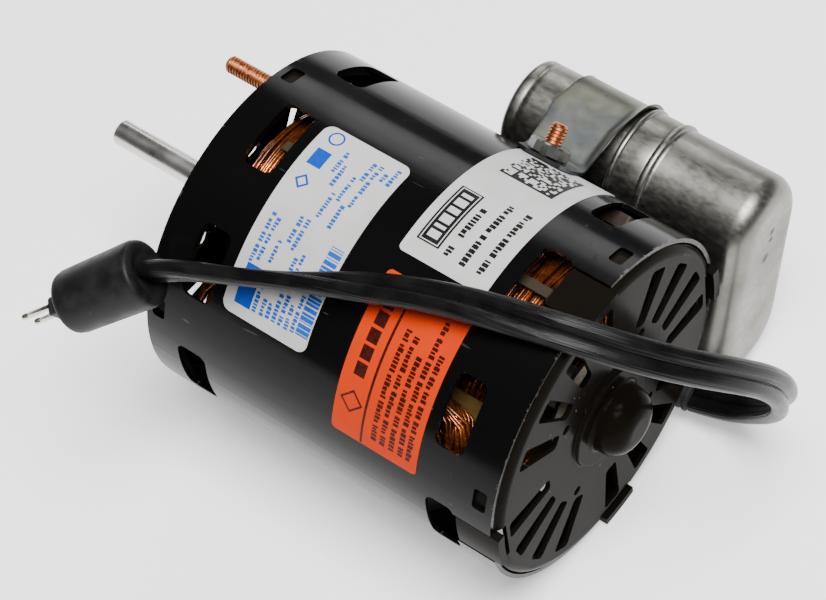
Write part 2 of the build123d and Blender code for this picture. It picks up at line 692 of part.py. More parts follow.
with BuildPart() as strap_stud:
    with BuildSketch(radial_plane(STRAP_STUD_X, SHELL_R, STRAP_STUD_ANGLE)):
        Circle(STUD_R - 0.05)
    extrude(amount=STRAP_STUD_TIP - SHELL_R)
finish(strap_stud.part, "strap_stud")

with BuildPart() as strap_nut:
    with BuildSketch(radial_plane(STRAP_STUD_X, NUT_SEAT_R, STRAP_STUD_ANGLE)):
        RegularPolygon(NUT_ACROSS_FLATS / 2, 6, major_radius=False)
        Circle(STUD_R, mode=Mode.SUBTRACT)
    extrude(amount=NUT_HEIGHT)
finish(strap_nut.part, "strap_nut")


# ---- labels -------------------------------------------------------------------------------------------------
def make_label(name, x_ends, angles, corner, stud_hole=False):
    """A thin label wrapped on the shell, with rounded corners."""
    with BuildPart() as label:
        add_sector(x_ends[0], x_ends[1], SHELL_R, SHELL_R + LABEL_WALL, angles[0], angles[1])
        short = [edge for edge in label.edges() if edge.length < 2 * LABEL_WALL]
        fillet(short, corner)
        if stud_hole:
            with BuildSketch(radial_plane(STRAP_STUD_X, SHELL_R - 1, STRAP_STUD_ANGLE)) as hole:
                Circle(STUD_R + 0.1)
            extrude(hole.sketch, amount=3, mode=Mode.SUBTRACT)
    finish(label.part, name)


make_label("rating_label", (-43.8, -20.8), (33.3, 99.9), 2.3)
make_label("identity_label", (-75.2, -52.6), (75.7, 150.0), 1.2, stud_hole=True)
make_label("caution_label", (-76.3, -53.6), (15.0, 69.6), 1.2)


# ---- cord, its grommet and its plug -----------------------------------------------------------------------
GROMMET_TAIL_X = -98.0
GROMMET_HEAD_X = -79.0

with BuildPart() as cord_grommet:
    with BuildSketch(radial_plane(REAR_VENT_X + 1.4, 37.2, GROMMET_ANGLE)):
        Rectangle(10.0, 8.4)
    extrude(amount=3.4)
    with BuildSketch(radial_plane(REAR_VENT_X, 40.6, GROMMET_ANGLE)):
        RectangleRounded(7.0, 7.0, 2.0)
    extrude(amount=GROMMET_R - 40.6)
    grommet_y, grommet_z = polar(GROMMET_R, GROMMET_ANGLE)
    with Locations(Plane(origin=(GROMMET_HEAD_X, grommet_y, grommet_z), z_dir=(-1, 0, 0))):
        Cone(3.6, 2.6, GROMMET_HEAD_X - GROMMET_TAIL_X, align=(Align.CENTER, Align.CENTER, Align.MIN))
finish(cord_grommet.part, "cord_grommet")

LEAD_XS = (-78.6, -80.9, -83.2)
with BuildPart() as motor_leads:
    for lead_x in LEAD_XS:
        with BuildLine(section(lead_x)) as lead_route:
            CenterArc((0, 0), 38.4, 166.4, 220.8 - 166.4)
        with BuildSketch(Plane(origin=lead_route.line @ 0, z_dir=lead_route.line % 0)) as lead_wire:
            Circle(0.9)
        sweep(lead_wire.sketch, path=lead_route.line)
finish(motor_leads.part, "motor_leads")

PLUG_AXIS = Vector(0.70, 0.52, -0.49).normalized()
PLUG_REAR = Vector(-5.5, 40.2, 30.3)
PLUG_LENGTH = 21.6
PLUG_REAR_R = 7.7
PLUG_FRONT_R = 7.2
NOSE = (5.6, 4.6)
NOSE_LENGTH = 4.6
PIN_R = 0.75
PIN_SPACING = 4.2
PIN_LENGTH = 8.0
PIN_ROW = Vector(-0.20, -0.45, -0.87)        # direction from one pin to the other, before squaring to the axis


def plug_plane(distance):
    """A plane across the plug, a distance along it from where the cord enters."""
    across = PIN_ROW - PLUG_AXIS * PIN_ROW.dot(PLUG_AXIS)
    return Plane(origin=PLUG_REAR + PLUG_AXIS * distance, x_dir=across, z_dir=PLUG_AXIS)


with BuildPart() as plug_body:
    with BuildSketch(plug_plane(0)):
        Circle(PLUG_REAR_R)
    with BuildSketch(plug_plane(PLUG_LENGTH)):
        Circle(PLUG_FRONT_R)
    loft()
    plug_ends = plug_body.edges().filter_by(GeomType.CIRCLE)
    chamfer(plug_ends.sort_by(SortBy.RADIUS)[-1], 1.2)
    with BuildSketch(plug_plane(PLUG_LENGTH)):
        RectangleRounded(NOSE[0], NOSE[1], 0.8)
    extrude(amount=NOSE_LENGTH)
finish(plug_body.part, "plug_body")

with BuildPart() as plug_pins:
    with BuildSketch(plug_plane(PLUG_LENGTH + NOSE_LENGTH)):
        with Locations((-PIN_SPACING / 2, 0), (PIN_SPACING / 2, 0)):
            Circle(PIN_R)
    extrude(amount=PIN_LENGTH)
finish(plug_pins.part, "plug_pins")

CORD_ROUTE = [
    (GROMMET_TAIL_X, grommet_y, grommet_z),
    (-105.6, -31.9, -33.0),
    (-113.0, -32.4, -28.4),
    (-119.6, -30.9, -20.4),
    (-124.8, -27.9, -9.5),
    (-126.8, -23.6, 3.3),
    (-126.2, -17.9, 14.5),
    (-123.3, -10.6, 24.2),
    (-117.7, -3.0, 32.4),
    (-109.1, 4.0, 39.2),
    (-97.4, 9.4, 43.7),
    (-83.4, 13.3, 44.5),
    (-66.0, 17.2, 42.6),
    (-49.3, 23.0, 39.6),
    (-35.0, 28.4, 36.3),
    (-25.0, 32.0, 34.2),
    (-17.3, 34.9, 33.2),
    (-10.85, 37.9, 32.7),
    tuple(PLUG_REAR),
]


def cord_radii(route):
    """The largest arc that each inner point of the route has room for."""
    radii = []
    for before, here, after in zip(route, route[1:], route[2:]):
        first = Vector(*here) - Vector(*before)
        second = Vector(*after) - Vector(*here)
        turn = first.get_angle(second)
        radii.append(0.45 * min(first.length, second.length) / tan(radians(turn / 2)))
    return radii


radii_of_cord = cord_radii(CORD_ROUTE)
with BuildPart() as power_cord:
    with BuildLine() as cord_line:
        FilletPolyline(*CORD_ROUTE, radius=radii_of_cord)
    with BuildSketch(Plane(origin=cord_line.line @ 0, z_dir=cord_line.line % 0)):
        Circle(CORD_R)
    sweep()
finish(power_cord.part, "power_cord")
cord_length = sum(edge.length for edge in cord_line.edges())
print("cord radii:", [round(radius, 1) for radius in radii_of_cord])
print("cord length:", round(cord_length, 1))
print("cord volume over section times length:", round(power_cord.part.volume / (pi * CORD_R**2 * cord_length), 4))
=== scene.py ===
"""Looks of a fan motor: its lead and plug, windings, strap, threads, print, materials, floor and light.

Everything is in metres in the model's own frame: +X runs out along the shaft, +Z is up with the motor
lying on its side, and the origin is on the shaft axis in the plane of the front bell's mounting face.
Lengths are written in millimetres and multiplied by MM. Angles are degrees about +X, from +Y towards +Z.
"""
import json
import random
from math import acos, asin, atan2, ceil, cos, degrees, pi, radians, sin, sqrt

import bpy
from mathutils import Matrix, Vector


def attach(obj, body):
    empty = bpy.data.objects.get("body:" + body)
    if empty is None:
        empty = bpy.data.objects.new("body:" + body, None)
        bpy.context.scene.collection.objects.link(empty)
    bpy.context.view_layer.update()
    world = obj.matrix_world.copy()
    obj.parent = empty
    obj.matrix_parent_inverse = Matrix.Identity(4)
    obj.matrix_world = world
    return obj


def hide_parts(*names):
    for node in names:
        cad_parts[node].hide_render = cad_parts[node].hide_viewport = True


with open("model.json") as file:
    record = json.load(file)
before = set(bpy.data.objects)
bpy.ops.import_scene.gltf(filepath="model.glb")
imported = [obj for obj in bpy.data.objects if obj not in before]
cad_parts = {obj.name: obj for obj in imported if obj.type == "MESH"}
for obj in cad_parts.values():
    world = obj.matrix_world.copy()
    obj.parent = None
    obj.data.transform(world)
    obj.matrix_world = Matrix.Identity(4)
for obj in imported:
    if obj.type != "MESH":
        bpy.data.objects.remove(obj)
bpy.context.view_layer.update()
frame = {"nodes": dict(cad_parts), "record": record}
CAD = frame["nodes"]
MM = 0.001

SHELL_R = 41.9
SHELL_REAR = -96.2
SHELL_FRONT = -1.2
CORE_FRONT = -28.7
CORE_REAR = -68.7
STUD_ANGLES = [20, 110, 200, 290]
STUD_CIRCLE_R = 35.95
FLOOR_Z = -SHELL_R - 0.1


# ---- camera ----------------------------------------------
def add_camera():
    """The camera, above the rear end of the motor and to its left."""
    place = Vector((-304.80, 254.87, 543.88)) * MM
    back = Vector((-0.39859, 0.38909, 0.83051))
    roll = radians(-10.4)
    lens = bpy.data.cameras.new("camera")
    lens.lens = 126.9
    lens.sensor_width = 36.0
    lens.clip_start = 0.01
    camera = bpy.data.objects.new("camera", lens)
    turn = back.to_track_quat("Z", "Y").to_matrix() @ Matrix.Rotation(roll, 3, "Z")
    camera.matrix_world = Matrix.Translation(place) @ turn.to_4x4()
    bpy.context.scene.collection.objects.link(camera)
    bpy.context.scene.camera = camera


add_camera()


# ---- material helpers ------------------------------------
def principled(name, colour, roughness, metallic=0.0, coat=0.0, sheen=0.0, index=None):
    """A material and its shader, with what is the same all over the surface set on the shader itself."""
    material = bpy.data.materials.new(name)
    material.use_nodes = True
    shader = material.node_tree.nodes["Principled BSDF"]
    settings = {
        "Base Color": (*colour, 1), "Roughness": roughness, "Metallic": metallic, "Coat Weight": coat,
        "Coat Roughness": 0.08, "Sheen Weight": sheen,
    }
    if index is not None:
        settings["IOR"] = index
    for socket, value in settings.items():
        shader.inputs[socket].default_value = value
    return material, shader


def texture(material, kind, scale, stretch=(1, 1, 1), source="Object", **inputs):
    """A texture node over the piece's place in the model, or its own UV map, stretched first."""
    nodes, links = material.node_tree.nodes, material.node_tree.links
    where = nodes.new("ShaderNodeTexCoord")
    mapping = nodes.new("ShaderNodeMapping")
    mapping.inputs["Scale"].default_value = stretch
    made = nodes.new(kind)
    links.new(where.outputs[source], mapping.inputs["Vector"])
    links.new(mapping.outputs["Vector"], made.inputs["Vector"])
    made.inputs["Scale"].default_value = scale
    for name, value in inputs.items():
        made.inputs[name].default_value = value
    return made


def noise(material, scale, detail=3.0, stretch=(1, 1, 1), source="Object"):
    """Soft random variation from 0 to 1. Scale counts features per metre."""
    return texture(material, "ShaderNodeTexNoise", scale, stretch, source, Detail=detail).outputs["Fac"]


def level(material, value, low, high, out_low=0.0, out_high=1.0):
    """Maps a value between low and high to between out_low and out_high, held at both ends."""
    made = material.node_tree.nodes.new("ShaderNodeMapRange")
    material.node_tree.links.new(value, made.inputs["Value"])
    numbers = {"From Min": low, "From Max": high, "To Min": out_low, "To Max": out_high}
    for name, number in numbers.items():
        made.inputs[name].default_value = number
    return made.outputs["Result"]


def patches(material, scale, detail, *levels):
    """Soft random variation held between levels, as level() does."""
    return level(material, noise(material, scale, detail), *levels)


def maths(material, operation, first, second):
    """Combines two values, either of which may be a plain number."""
    made = material.node_tree.nodes.new("ShaderNodeMath")
    made.operation = operation
    for socket, value in zip(made.inputs, (first, second)):
        if isinstance(value, (int, float)):
            socket.default_value = value
        else:
            material.node_tree.links.new(value, socket)
    return made.outputs["Value"]


def highest(material, values):
    """The greatest of the values at each point."""
    top = values[0]
    for value in values[1:]:
        top = maths(material, "MAXIMUM", top, value)
    return top


def blend_colours(material, amount, first, second):
    """The first colour where amount is 0, the second where it is 1. Either may be a node's output."""
    made = material.node_tree.nodes.new("ShaderNodeMix")
    made.data_type = "RGBA"
    material.node_tree.links.new(amount, made.inputs[0])
    for socket, colour in ((made.inputs[6], first), (made.inputs[7], second)):
        if isinstance(colour, tuple):
            socket.default_value = (*colour, 1)
        else:
            material.node_tree.links.new(colour, socket)
    return made.outputs[2]


def feed(material, shader, **values):
    """Links values to the shader's sockets: colour, roughness, metallic."""
    sockets = {"colour": "Base Color", "roughness": "Roughness", "metallic": "Metallic"}
    for name, value in values.items():
        material.node_tree.links.new(value, shader.inputs[sockets[name]])


def relief(material, shader, height, depth):
    """Bump of that depth, in millimetres, on top of any bump that the shader has already."""
    made = material.node_tree.nodes.new("ShaderNodeBump")
    made.inputs["Distance"].default_value = depth * MM
    links = material.node_tree.links
    links.new(height, made.inputs["Height"])
    if shader.inputs["Normal"].is_linked:
        links.new(shader.inputs["Normal"].links[0].from_socket, made.inputs["Normal"])
    links.new(made.outputs["Normal"], shader.inputs["Normal"])


def near_plane(material, x):
    """1 in the plane across the shaft at x, in millimetres, fading to 0 half a millimetre from it."""
    nodes = material.node_tree.nodes
    where = nodes.new("ShaderNodeTexCoord")
    split = nodes.new("ShaderNodeSeparateXYZ")
    material.node_tree.links.new(where.outputs["Object"], split.inputs["Vector"])
    away = maths(material, "ABSOLUTE", maths(material, "SUBTRACT", split.outputs["X"], x * MM), 0)
    return level(material, away, 0.15 * MM, 0.55 * MM, 1.0, 0.0)


def spot(material, place, radius):
    """1 inside a ball of that radius about a point, fading to 0 at its edge. Both are in millimetres."""
    nodes, links = material.node_tree.nodes, material.node_tree.links
    where = nodes.new("ShaderNodeTexCoord")
    apart = nodes.new("ShaderNodeVectorMath")
    apart.operation = "DISTANCE"
    apart.inputs[1].default_value = tuple(number * MM for number in place)
    links.new(where.outputs["Object"], apart.inputs[0])
    return level(material, apart.outputs["Value"], radius * 0.4 * MM, radius * MM, 1.0, 0.0)


# ---- materials -------------------------------------------
def enamel(name, colour, roughness, index, rims=()):
    """Gloss enamel on steel: orange peel, handling marks, fine scratches, and chips along any rims."""
    material, shader = principled(name, colour, roughness, index=index)
    haze = patches(material, 45, 3, 0.3, 0.75, roughness - 0.05, roughness + 0.07)
    scuffs = patches(material, 420, 4, 0.62, 0.78, 0.0, 0.1)
    specks = patches(material, 620, 2, 0.745, 0.77)
    scratches = level(material, noise(material, 700, 1, stretch=(0.12, 1, 0.5)), 0.735, 0.76)
    marks = maths(material, "MAXIMUM", specks, scratches)
    handled = patches(material, 38, 1, 0.52, 0.62)
    worn = maths(material, "MULTIPLY", marks, handled)
    painted = blend_colours(material, worn, colour, (0.07, 0.068, 0.065))
    if rims:
        chips = patches(material, 600, 4, 0.58, 0.64)
        near = highest(material, [near_plane(material, rim) for rim in rims])
        bare = maths(material, "MULTIPLY", near, chips)
        painted = blend_colours(material, bare, painted, (0.06, 0.057, 0.053))
    feed(material, shader, colour=painted, roughness=maths(material, "ADD", haze, scuffs))
    relief(material, shader, noise(material, 380, 2), 0.012)
    relief(material, shader, marks, 0.01)
    return material


def bright_steel(name, colour, roughness, grain=(60, 1, 1), depth=0.004, cloud=0.12):
    """Ground or drawn metal with a fine grain across the stretch, and a soft cloudiness."""
    material, shader = principled(name, colour, roughness, metallic=1.0)
    lines = noise(material, 260, 4, stretch=grain)
    clouds = noise(material, 90, 4)
    dark = tuple(channel * (1 - 2 * cloud) for channel in colour)
    feed(
        material, shader,
        colour=blend_colours(material, level(material, clouds, 0.35, 0.7), colour, dark),
        roughness=level(material, lines, 0.3, 0.7, roughness - 0.07, roughness + 0.09),
    )
    relief(material, shader, lines, depth)
    return material


def tin_plate():
    """The capacitor's drawn tinned steel: cloudy, rubbed, finely scratched, with a few dents in its end,
    each pressed in by bump and darkened nearly to black as painted shade.
    """
    material, shader = principled("tin_plate", (0.46, 0.45, 0.43), 0.36, metallic=1.0)
    clouds = noise(material, 70, 5)
    rubbing = noise(material, 900, 5, stretch=(0.5, 1, 1))
    dark = level(material, clouds, 0.38, 0.66)
    base = blend_colours(material, dark, (0.23, 0.223, 0.2), (0.15, 0.145, 0.128))
    flecks = patches(material, 1100, 3, 0.66, 0.74)
    base = blend_colours(material, maths(material, "MULTIPLY", flecks, 0.5), base, (0.1, 0.097, 0.087))
    dents = [((-101.2, -59.0, 0.6), 1.3), ((-101.2, -58.4, -1.8), 1.1), ((-101.2, -56.0, -6.4), 1.7)]
    dent_and_painted_shade = highest(material, [spot(material, place, radius) for place, radius in dents])
    # painted shade: the dents' colour is darkened nearly to black, standing in for the shade inside them
    base = blend_colours(material, maths(material, "MULTIPLY", dent_and_painted_shade, 0.9), base, (0.03, 0.029, 0.028))
    feed(material, shader, colour=base, roughness=level(material, rubbing, 0.3, 0.7, 0.32, 0.46))
    relief(material, shader, clouds, 0.06)
    relief(material, shader, rubbing, 0.003)
    relief(material, shader, noise(material, 2200, 2), 0.002)
    relief(material, shader, maths(material, "MULTIPLY", dent_and_painted_shade, -1), 0.3)
    return material


def zinc_plate():
    """Passivated zinc: bluish, drifting to a faint yellow-green."""
    material, shader = principled("zinc_plate", (0.47, 0.5, 0.53), 0.33, metallic=1.0)
    drift = patches(material, 55, 2, 0.42, 0.62)
    base = blend_colours(material, drift, (0.07, 0.076, 0.08), (0.115, 0.115, 0.085))
    spots = patches(material, 650, 4, 0.62, 0.72)
    base = blend_colours(material, spots, base, (0.06, 0.063, 0.065))
    lines = noise(material, 300, 3)
    feed(material, shader, colour=base, roughness=level(material, lines, 0.3, 0.7, 0.34, 0.42))
    relief(material, shader, lines, 0.005)
    return material


def copper_plate():
    """Copper-flashed thread, dull in the roots and bright on the crests."""
    material, shader = principled("copper_plate", (0.66, 0.3, 0.16), 0.36, metallic=1.0)
    grime = patches(material, 900, 4, 0.45, 0.7)
    base = blend_colours(material, grime, (0.56, 0.2, 0.085), (0.24, 0.075, 0.03))
    gloss = patches(material, 1500, 2, 0.3, 0.7, 0.28, 0.5)
    feed(material, shader, colour=base, roughness=gloss)
    return material


def laminations():
    """Stacked core plates, seen edge-on, with a brown oxide."""
    material, shader = principled("laminations", (0.2, 0.18, 0.15), 0.5, metallic=0.8)
    plates = texture(material, "ShaderNodeTexWave", 320, Distortion=0.4)
    feed(
        material, shader,
        colour=blend_colours(material, patches(material, 120, 4, 0.35, 0.65),
                             (0.22, 0.2, 0.17), (0.11, 0.085, 0.06)),
        roughness=patches(material, 500, 3, 0.3, 0.7, 0.4, 0.62),
    )
    relief(material, shader, plates.outputs["Fac"], 0.08)
    return material


def magnet_wire():
    """Copper wire under amber varnish that has pooled between the strands."""
    material, shader = principled("magnet_wire", (0.36, 0.1, 0.02), 0.3, metallic=0.85, coat=0.3)
    pools = patches(material, 240, 4, 0.45, 0.6)
    strands = patches(material, 1500, 2, 0.4, 0.6)
    base = blend_colours(material, strands, (0.44, 0.115, 0.02), (0.15, 0.035, 0.007))
    base = blend_colours(material, maths(material, "MULTIPLY", pools, 0.75), base, (0.035, 0.012, 0.003))
    feed(material, shader, colour=base, roughness=level(material, strands, 0, 1, 0.22, 0.4))
    relief(material, shader, noise(material, 900, 2), 0.04)
    return material


def film(name, colour, dark):
    """Varnished insulation: waxy, stained and slightly wavy."""
    material, shader = principled(name, colour, 0.34, coat=0.4)
    stain = patches(material, 160, 5, 0.35, 0.65)
    feed(
        material, shader,
        colour=blend_colours(material, stain, colour, dark),
        roughness=patches(material, 600, 2, 0.3, 0.7, 0.25, 0.5),
    )
    relief(material, shader, noise(material, 210, 3), 0.1)
    return material


def fibrous(name, colour, sheen=0.3, scale=1600, depth=0.12):
    """Felt or twisted cord."""
    material, shader = principled(name, colour, 0.9, sheen=sheen)
    threads = noise(material, scale, 5, stretch=(1, 2.5, 0.7))
    shade = tuple(channel * 0.5 for channel in colour)
    raised = level(material, threads, 0.35, 0.65)
    feed(material, shader, colour=blend_colours(material, raised, shade, colour))
    relief(material, shader, threads, depth)
    return material


def sticker(name, colour, soiled):
    """Satin label film, faintly soiled, with the wrinkles of a hand-laid sticker."""
    material, shader = principled(name, colour, 0.36, index=1.12)
    dirt = patches(material, 130, 6, 0.42, 0.75)
    feed(
        material, shader,
        colour=blend_colours(material, maths(material, "MULTIPLY", dirt, 0.5), colour, soiled),
        roughness=patches(material, 300, 3, 0.3, 0.7, 0.28, 0.45),
    )
    relief(material, shader, noise(material, 110, 3), 0.05)
    relief(material, shader, noise(material, 1800, 2), 0.006)
    return material


def ink(name, colour, worn):
    """Printed ink that has taken unevenly."""
    material, shader = principled(name, colour, 0.42, index=1.2)
    uneven = patches(material, 1400, 3, 0.4, 0.7)
    thin = maths(material, "MULTIPLY", uneven, 0.45)
    feed(material, shader, colour=blend_colours(material, thin, colour, worn))
    relief(material, shader, noise(material, 1200, 2), 0.004)
    return material


def moulded(name, colour, roughness, grain=1300, depth=0.01):
    """Moulded rubber or plastic: fine mottling, dust and a few pale scuffs."""
    material, shader = principled(name, colour, roughness, index=1.25)
    mottle = noise(material, 260, 5)
    dust = patches(material, 900, 3, 0.66, 0.74)
    light = tuple(min(1.0, channel * 1.7 + 0.004) for channel in colour)
    base = blend_colours(material, level(material, mottle, 0.35, 0.7), colour, light)
    base = blend_colours(material, maths(material, "MULTIPLY", dust, 0.25), base, (0.08, 0.076, 0.072))
    feed(material, shader, colour=base,
         roughness=level(material, mottle, 0.3, 0.7, roughness - 0.07, roughness + 0.1))
    relief(material, shader, noise(material, grain, 3), depth)
    return material


def cord_jacket():
    """Extruded vinyl: fine lines along the cord and a soft gloss. It follows the cord's own map."""
    material, shader = principled("cord_jacket", (0.004, 0.004, 0.0042), 0.34, index=1.25)
    lines = noise(material, 1.0, 3, stretch=(30, 1900, 1), source="UV")
    haze = noise(material, 120, 4)
    pale = level(material, haze, 0.4, 0.7)
    base = blend_colours(material, pale, (0.003, 0.003, 0.0031), (0.006, 0.006, 0.006))
    feed(material, shader, colour=base, roughness=level(material, haze, 0.3, 0.7, 0.22, 0.36))
    relief(material, shader, lines, 0.3)
    relief(material, shader, noise(material, 500, 3), 0.01)
    return material


SLOTS = {
    "black_enamel": enamel("black_enamel", (0.0024, 0.0024, 0.0023), 0.19, 1.2, (SHELL_FRONT, SHELL_REAR)),
    "bell_enamel": enamel("bell_enamel", (0.0056, 0.0044, 0.0032), 0.2, 1.065),
    "ground_steel": bright_steel("ground_steel", (0.62, 0.6, 0.57), 0.3, grain=(0.5, 0.5, 0.5),
                                 depth=0.0005, cloud=0.03),
    "copper_plate": copper_plate(),
    "zinc_plate": zinc_plate(),
    "tin_plate": tin_plate(),
    "lamination_steel": laminations(),
    "cast_aluminium": bright_steel("cast_aluminium", (0.55, 0.55, 0.56), 0.45, grain=(1, 1, 1),
                                   depth=0.03),
    "bearing_bronze": bright_steel("bearing_bronze", (0.5, 0.32, 0.16), 0.4, grain=(2, 1, 1), cloud=0.2),
    "enamelled_copper": magnet_wire(),
    "terminal_brass": bright_steel("terminal_brass", (0.66, 0.5, 0.25), 0.3, grain=(1, 8, 1)),
    "oil_felt": fibrous("oil_felt", (0.42, 0.37, 0.28)),
    "slot_paper": film("slot_paper", (0.2, 0.17, 0.06), (0.09, 0.065, 0.02)),
    "insulation_film": film("insulation_film", (0.14, 0.105, 0.025), (0.06, 0.035, 0.008)),
    "tie_cord": fibrous("tie_cord", (0.026, 0.016, 0.004), sheen=0.0, scale=2400),
    "white_label": sticker("white_label", (0.46, 0.46, 0.455), (0.36, 0.345, 0.325)),
    "orange_label": sticker("orange_label", (0.52, 0.031, 0.0), (0.42, 0.022, 0.0)),
    "black_rubber": moulded("black_rubber", (0.014, 0.014, 0.014), 0.5),
    "lead_insulation": moulded("lead_insulation", (0.016, 0.016, 0.017), 0.38),
    "black_plastic": moulded("black_plastic", (0.0045, 0.0045, 0.0045), 0.46, grain=1900, depth=0.02),
    "phenolic": moulded("phenolic", (0.014, 0.008, 0.005), 0.4),
}
CORD_JACKET = cord_jacket()
PIN_METAL = bright_steel("pin_metal", (0.66, 0.62, 0.55), 0.25, grain=(3, 3, 3))
BLUE_INK = ink("blue_ink", (0.0, 0.045, 0.34), (0.01, 0.07, 0.34))
PALE_BLUE_INK = ink("pale_blue_ink", (0.005, 0.075, 0.36), (0.03, 0.12, 0.36))
PAPER_INK = ink("paper_ink", (0.46, 0.46, 0.455), (0.4, 0.39, 0.38))
BLACK_INK = ink("black_ink", (0.004, 0.004, 0.004), (0.02, 0.02, 0.02))
BROWN_INK = ink("brown_ink", (0.02, 0.004, 0.003), (0.09, 0.008, 0.004))


# ---- mesh helpers ----------------------------------------
def add_piece(name, shape, slot, body="frame", material=None, sharp=None):
    """A piece from (vertices, faces) in millimetres, which rides on a body and takes a slot's finish."""
    vertices, faces = shape
    mesh = bpy.data.meshes.new(name)
    mesh.from_pydata([Vector(point) * MM for point in vertices], [], faces)
    mesh.validate()
    mesh.update()
    for polygon in mesh.polygons:
        polygon.use_smooth = True
    if sharp is not None:
        mesh.set_sharp_from_angle(angle=radians(sharp))
    mesh.materials.append(material or SLOTS[slot])
    piece = bpy.data.objects.new(name, mesh)
    bpy.context.scene.collection.objects.link(piece)
    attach(piece, body)
    return piece


def polar(x, radius, angle):
    """The point at x, at a radius and an angle about the shaft, in millimetres."""
    return Vector((x, radius * cos(radians(angle)), radius * sin(radians(angle))))


def skin(rings, close_ends=True, loop=False):
    """Vertices and faces of a surface through rings that have the same number of points."""
    count = len(rings[0])
    vertices = [point for ring in rings for point in ring]
    faces = []
    pairs = len(rings) if loop else len(rings) - 1
    for row in range(pairs):
        here, there = row * count, (row + 1) % len(rings) * count
        for k in range(count):
            after = (k + 1) % count
            faces.append((here + k, here + after, there + after, there + k))
    if close_ends and not loop:
        faces.append(tuple(reversed(range(count))))
        faces.append(tuple(range((len(rings) - 1) * count, len(rings) * count)))
    return vertices, faces


def join(parts):
    """One list of vertices and faces from several."""
    vertices, faces = [], []
    for part_vertices, part_faces in parts:
        start = len(vertices)
        vertices += part_vertices
        faces += [tuple(index + start for index in face) for face in part_faces]
    return vertices, faces


def axes_about(direction, hint):
    """Two unit vectors across a direction, the first as near to the hint as it can be."""
    along = Vector(direction).normalized()
    across = (Vector(hint) - along * Vector(hint).dot(along)).normalized()
    return across, along.cross(across)


def lathe(profile, origin, direction, hint=(0, 0, 1), segments=48, shape=None):
    """Turns (distance, radius) pairs about a line. shape(angle, distance, radius) may change the radius."""
    along = Vector(direction).normalized()
    across, beside = axes_about(direction, hint)
    rings = []
    for distance, radius in profile:
        ring = []
        for k in range(segments):
            angle = 2 * pi * k / segments
            reach = shape(angle, distance, radius) if shape else radius
            spoke = across * cos(angle) + beside * sin(angle)
            ring.append(Vector(origin) + along * distance + spoke * reach)
        rings.append(ring)
    return skin(rings)


def tube(points, radius, sides=6, closed=False):
    """A round tube through points, with a frame carried along it so that it doesn't twist."""
    rings = []
    side = None
    count = len(points)
    for k, point in enumerate(points):
        before = points[k - 1] if k > 0 or closed else points[k]
        after = points[(k + 1) % count] if k < count - 1 or closed else points[k]
        along = (after - before).normalized()
        side = side if side is not None else along.orthogonal()
        side = (side - along * side.dot(along)).normalized()
        beside = along.cross(side)
        turns = [2 * pi * j / sides for j in range(sides)]
        rings.append([point + (side * cos(turn) + beside * sin(turn)) * radius for turn in turns])
    return skin(rings, loop=closed)


def distances(points):
    """How far along a line each of its points is."""
    travelled = [0.0]
    for before, here in zip(points, points[1:]):
        travelled.append(travelled[-1] + (here - before).length)
    return travelled


def heading(points, k):
    """Which way a line runs at one of its points."""
    return points[min(k + 1, len(points) - 1)] - points[max(k - 1, 0)]


def rounded_block(size, corner, steps=4):
    """Outline of a rounded rectangle about (0, 0)."""
    points = []
    for quarter in range(4):
        middle_x = (size[0] / 2 - corner) * (1 if quarter in (0, 3) else -1)
        middle_y = (size[1] / 2 - corner) * (1 if quarter < 2 else -1)
        for k in range(steps + 1):
            angle = pi / 2 * (quarter + k / steps)
            points.append((middle_x + corner * cos(angle), middle_y + corner * sin(angle)))
    return points


# ---- lead ------------------------------------------------
GROMMET_ANGLE = 228.0
GROMMET_R = 45.8
GROMMET_HEAD_X = -79.0
GROMMET_TAIL_X = -98.0
CORD_WIDTH = 7.9
CORD_THICKNESS = 4.0
PLUG_AXIS = Vector((0.70, 0.52, -0.49)).normalized()
PLUG_REAR = Vector((-5.5, 40.2, 30.3))
PIN_ROW = Vector((-0.20, -0.45, -0.87))
CORD_ROUTE = [
    tuple(polar(GROMMET_TAIL_X, GROMMET_R, GROMMET_ANGLE)),
    (-105.6, -31.9, -33.0), (-113.0, -32.4, -28.4), (-119.6, -30.9, -20.4), (-124.8, -27.9, -9.5),
    (-126.8, -23.6, 3.3), (-126.2, -17.9, 14.5), (-123.3, -10.6, 24.2), (-117.7, -3.0, 32.4),
    (-109.1, 4.0, 39.2), (-97.4, 9.4, 43.7), (-83.4, 13.3, 44.5), (-66.0, 17.2, 42.6),
    (-49.3, 23.0, 39.6), (-35.0, 28.4, 36.3), (-25.0, 32.0, 34.2), (-17.3, 34.9, 33.2),
    (-10.85, 37.9, 32.7),
    tuple(PLUG_REAR),
]
# Direction of the flat cord's width at shares of its length: flat in the loop, on edge at the plug.
CORD_TWIST = [(0.0, (0.0, 0.88, -0.47)), (0.55, (0.0, 0.88, -0.47)), (0.72, (0.1, 0.9, 0.05)),
              (0.88, (0.2, 0.62, 0.72)), (1.0, tuple(-PIN_ROW))]


def cord_points():
    """Points along the smooth line that the route controls, in millimetres."""
    curve = bpy.data.curves.new("cord_line", "CURVE")
    curve.dimensions = "3D"
    spline = curve.splines.new("NURBS")
    spline.points.add(len(CORD_ROUTE) - 1)
    for point, place in zip(spline.points, CORD_ROUTE):
        point.co = (*(Vector(place) * MM), 1)
    spline.order_u = 3
    spline.use_endpoint_u = True
    spline.resolution_u = 16
    line = bpy.data.objects.new("cord_line", curve)
    bpy.context.scene.collection.objects.link(line)
    bpy.context.view_layer.update()
    mesh = bpy.data.meshes.new_from_object(line)
    points = [vertex.co / MM for vertex in mesh.vertices]
    bpy.data.objects.remove(line)
    bpy.data.meshes.remove(mesh)
    return points


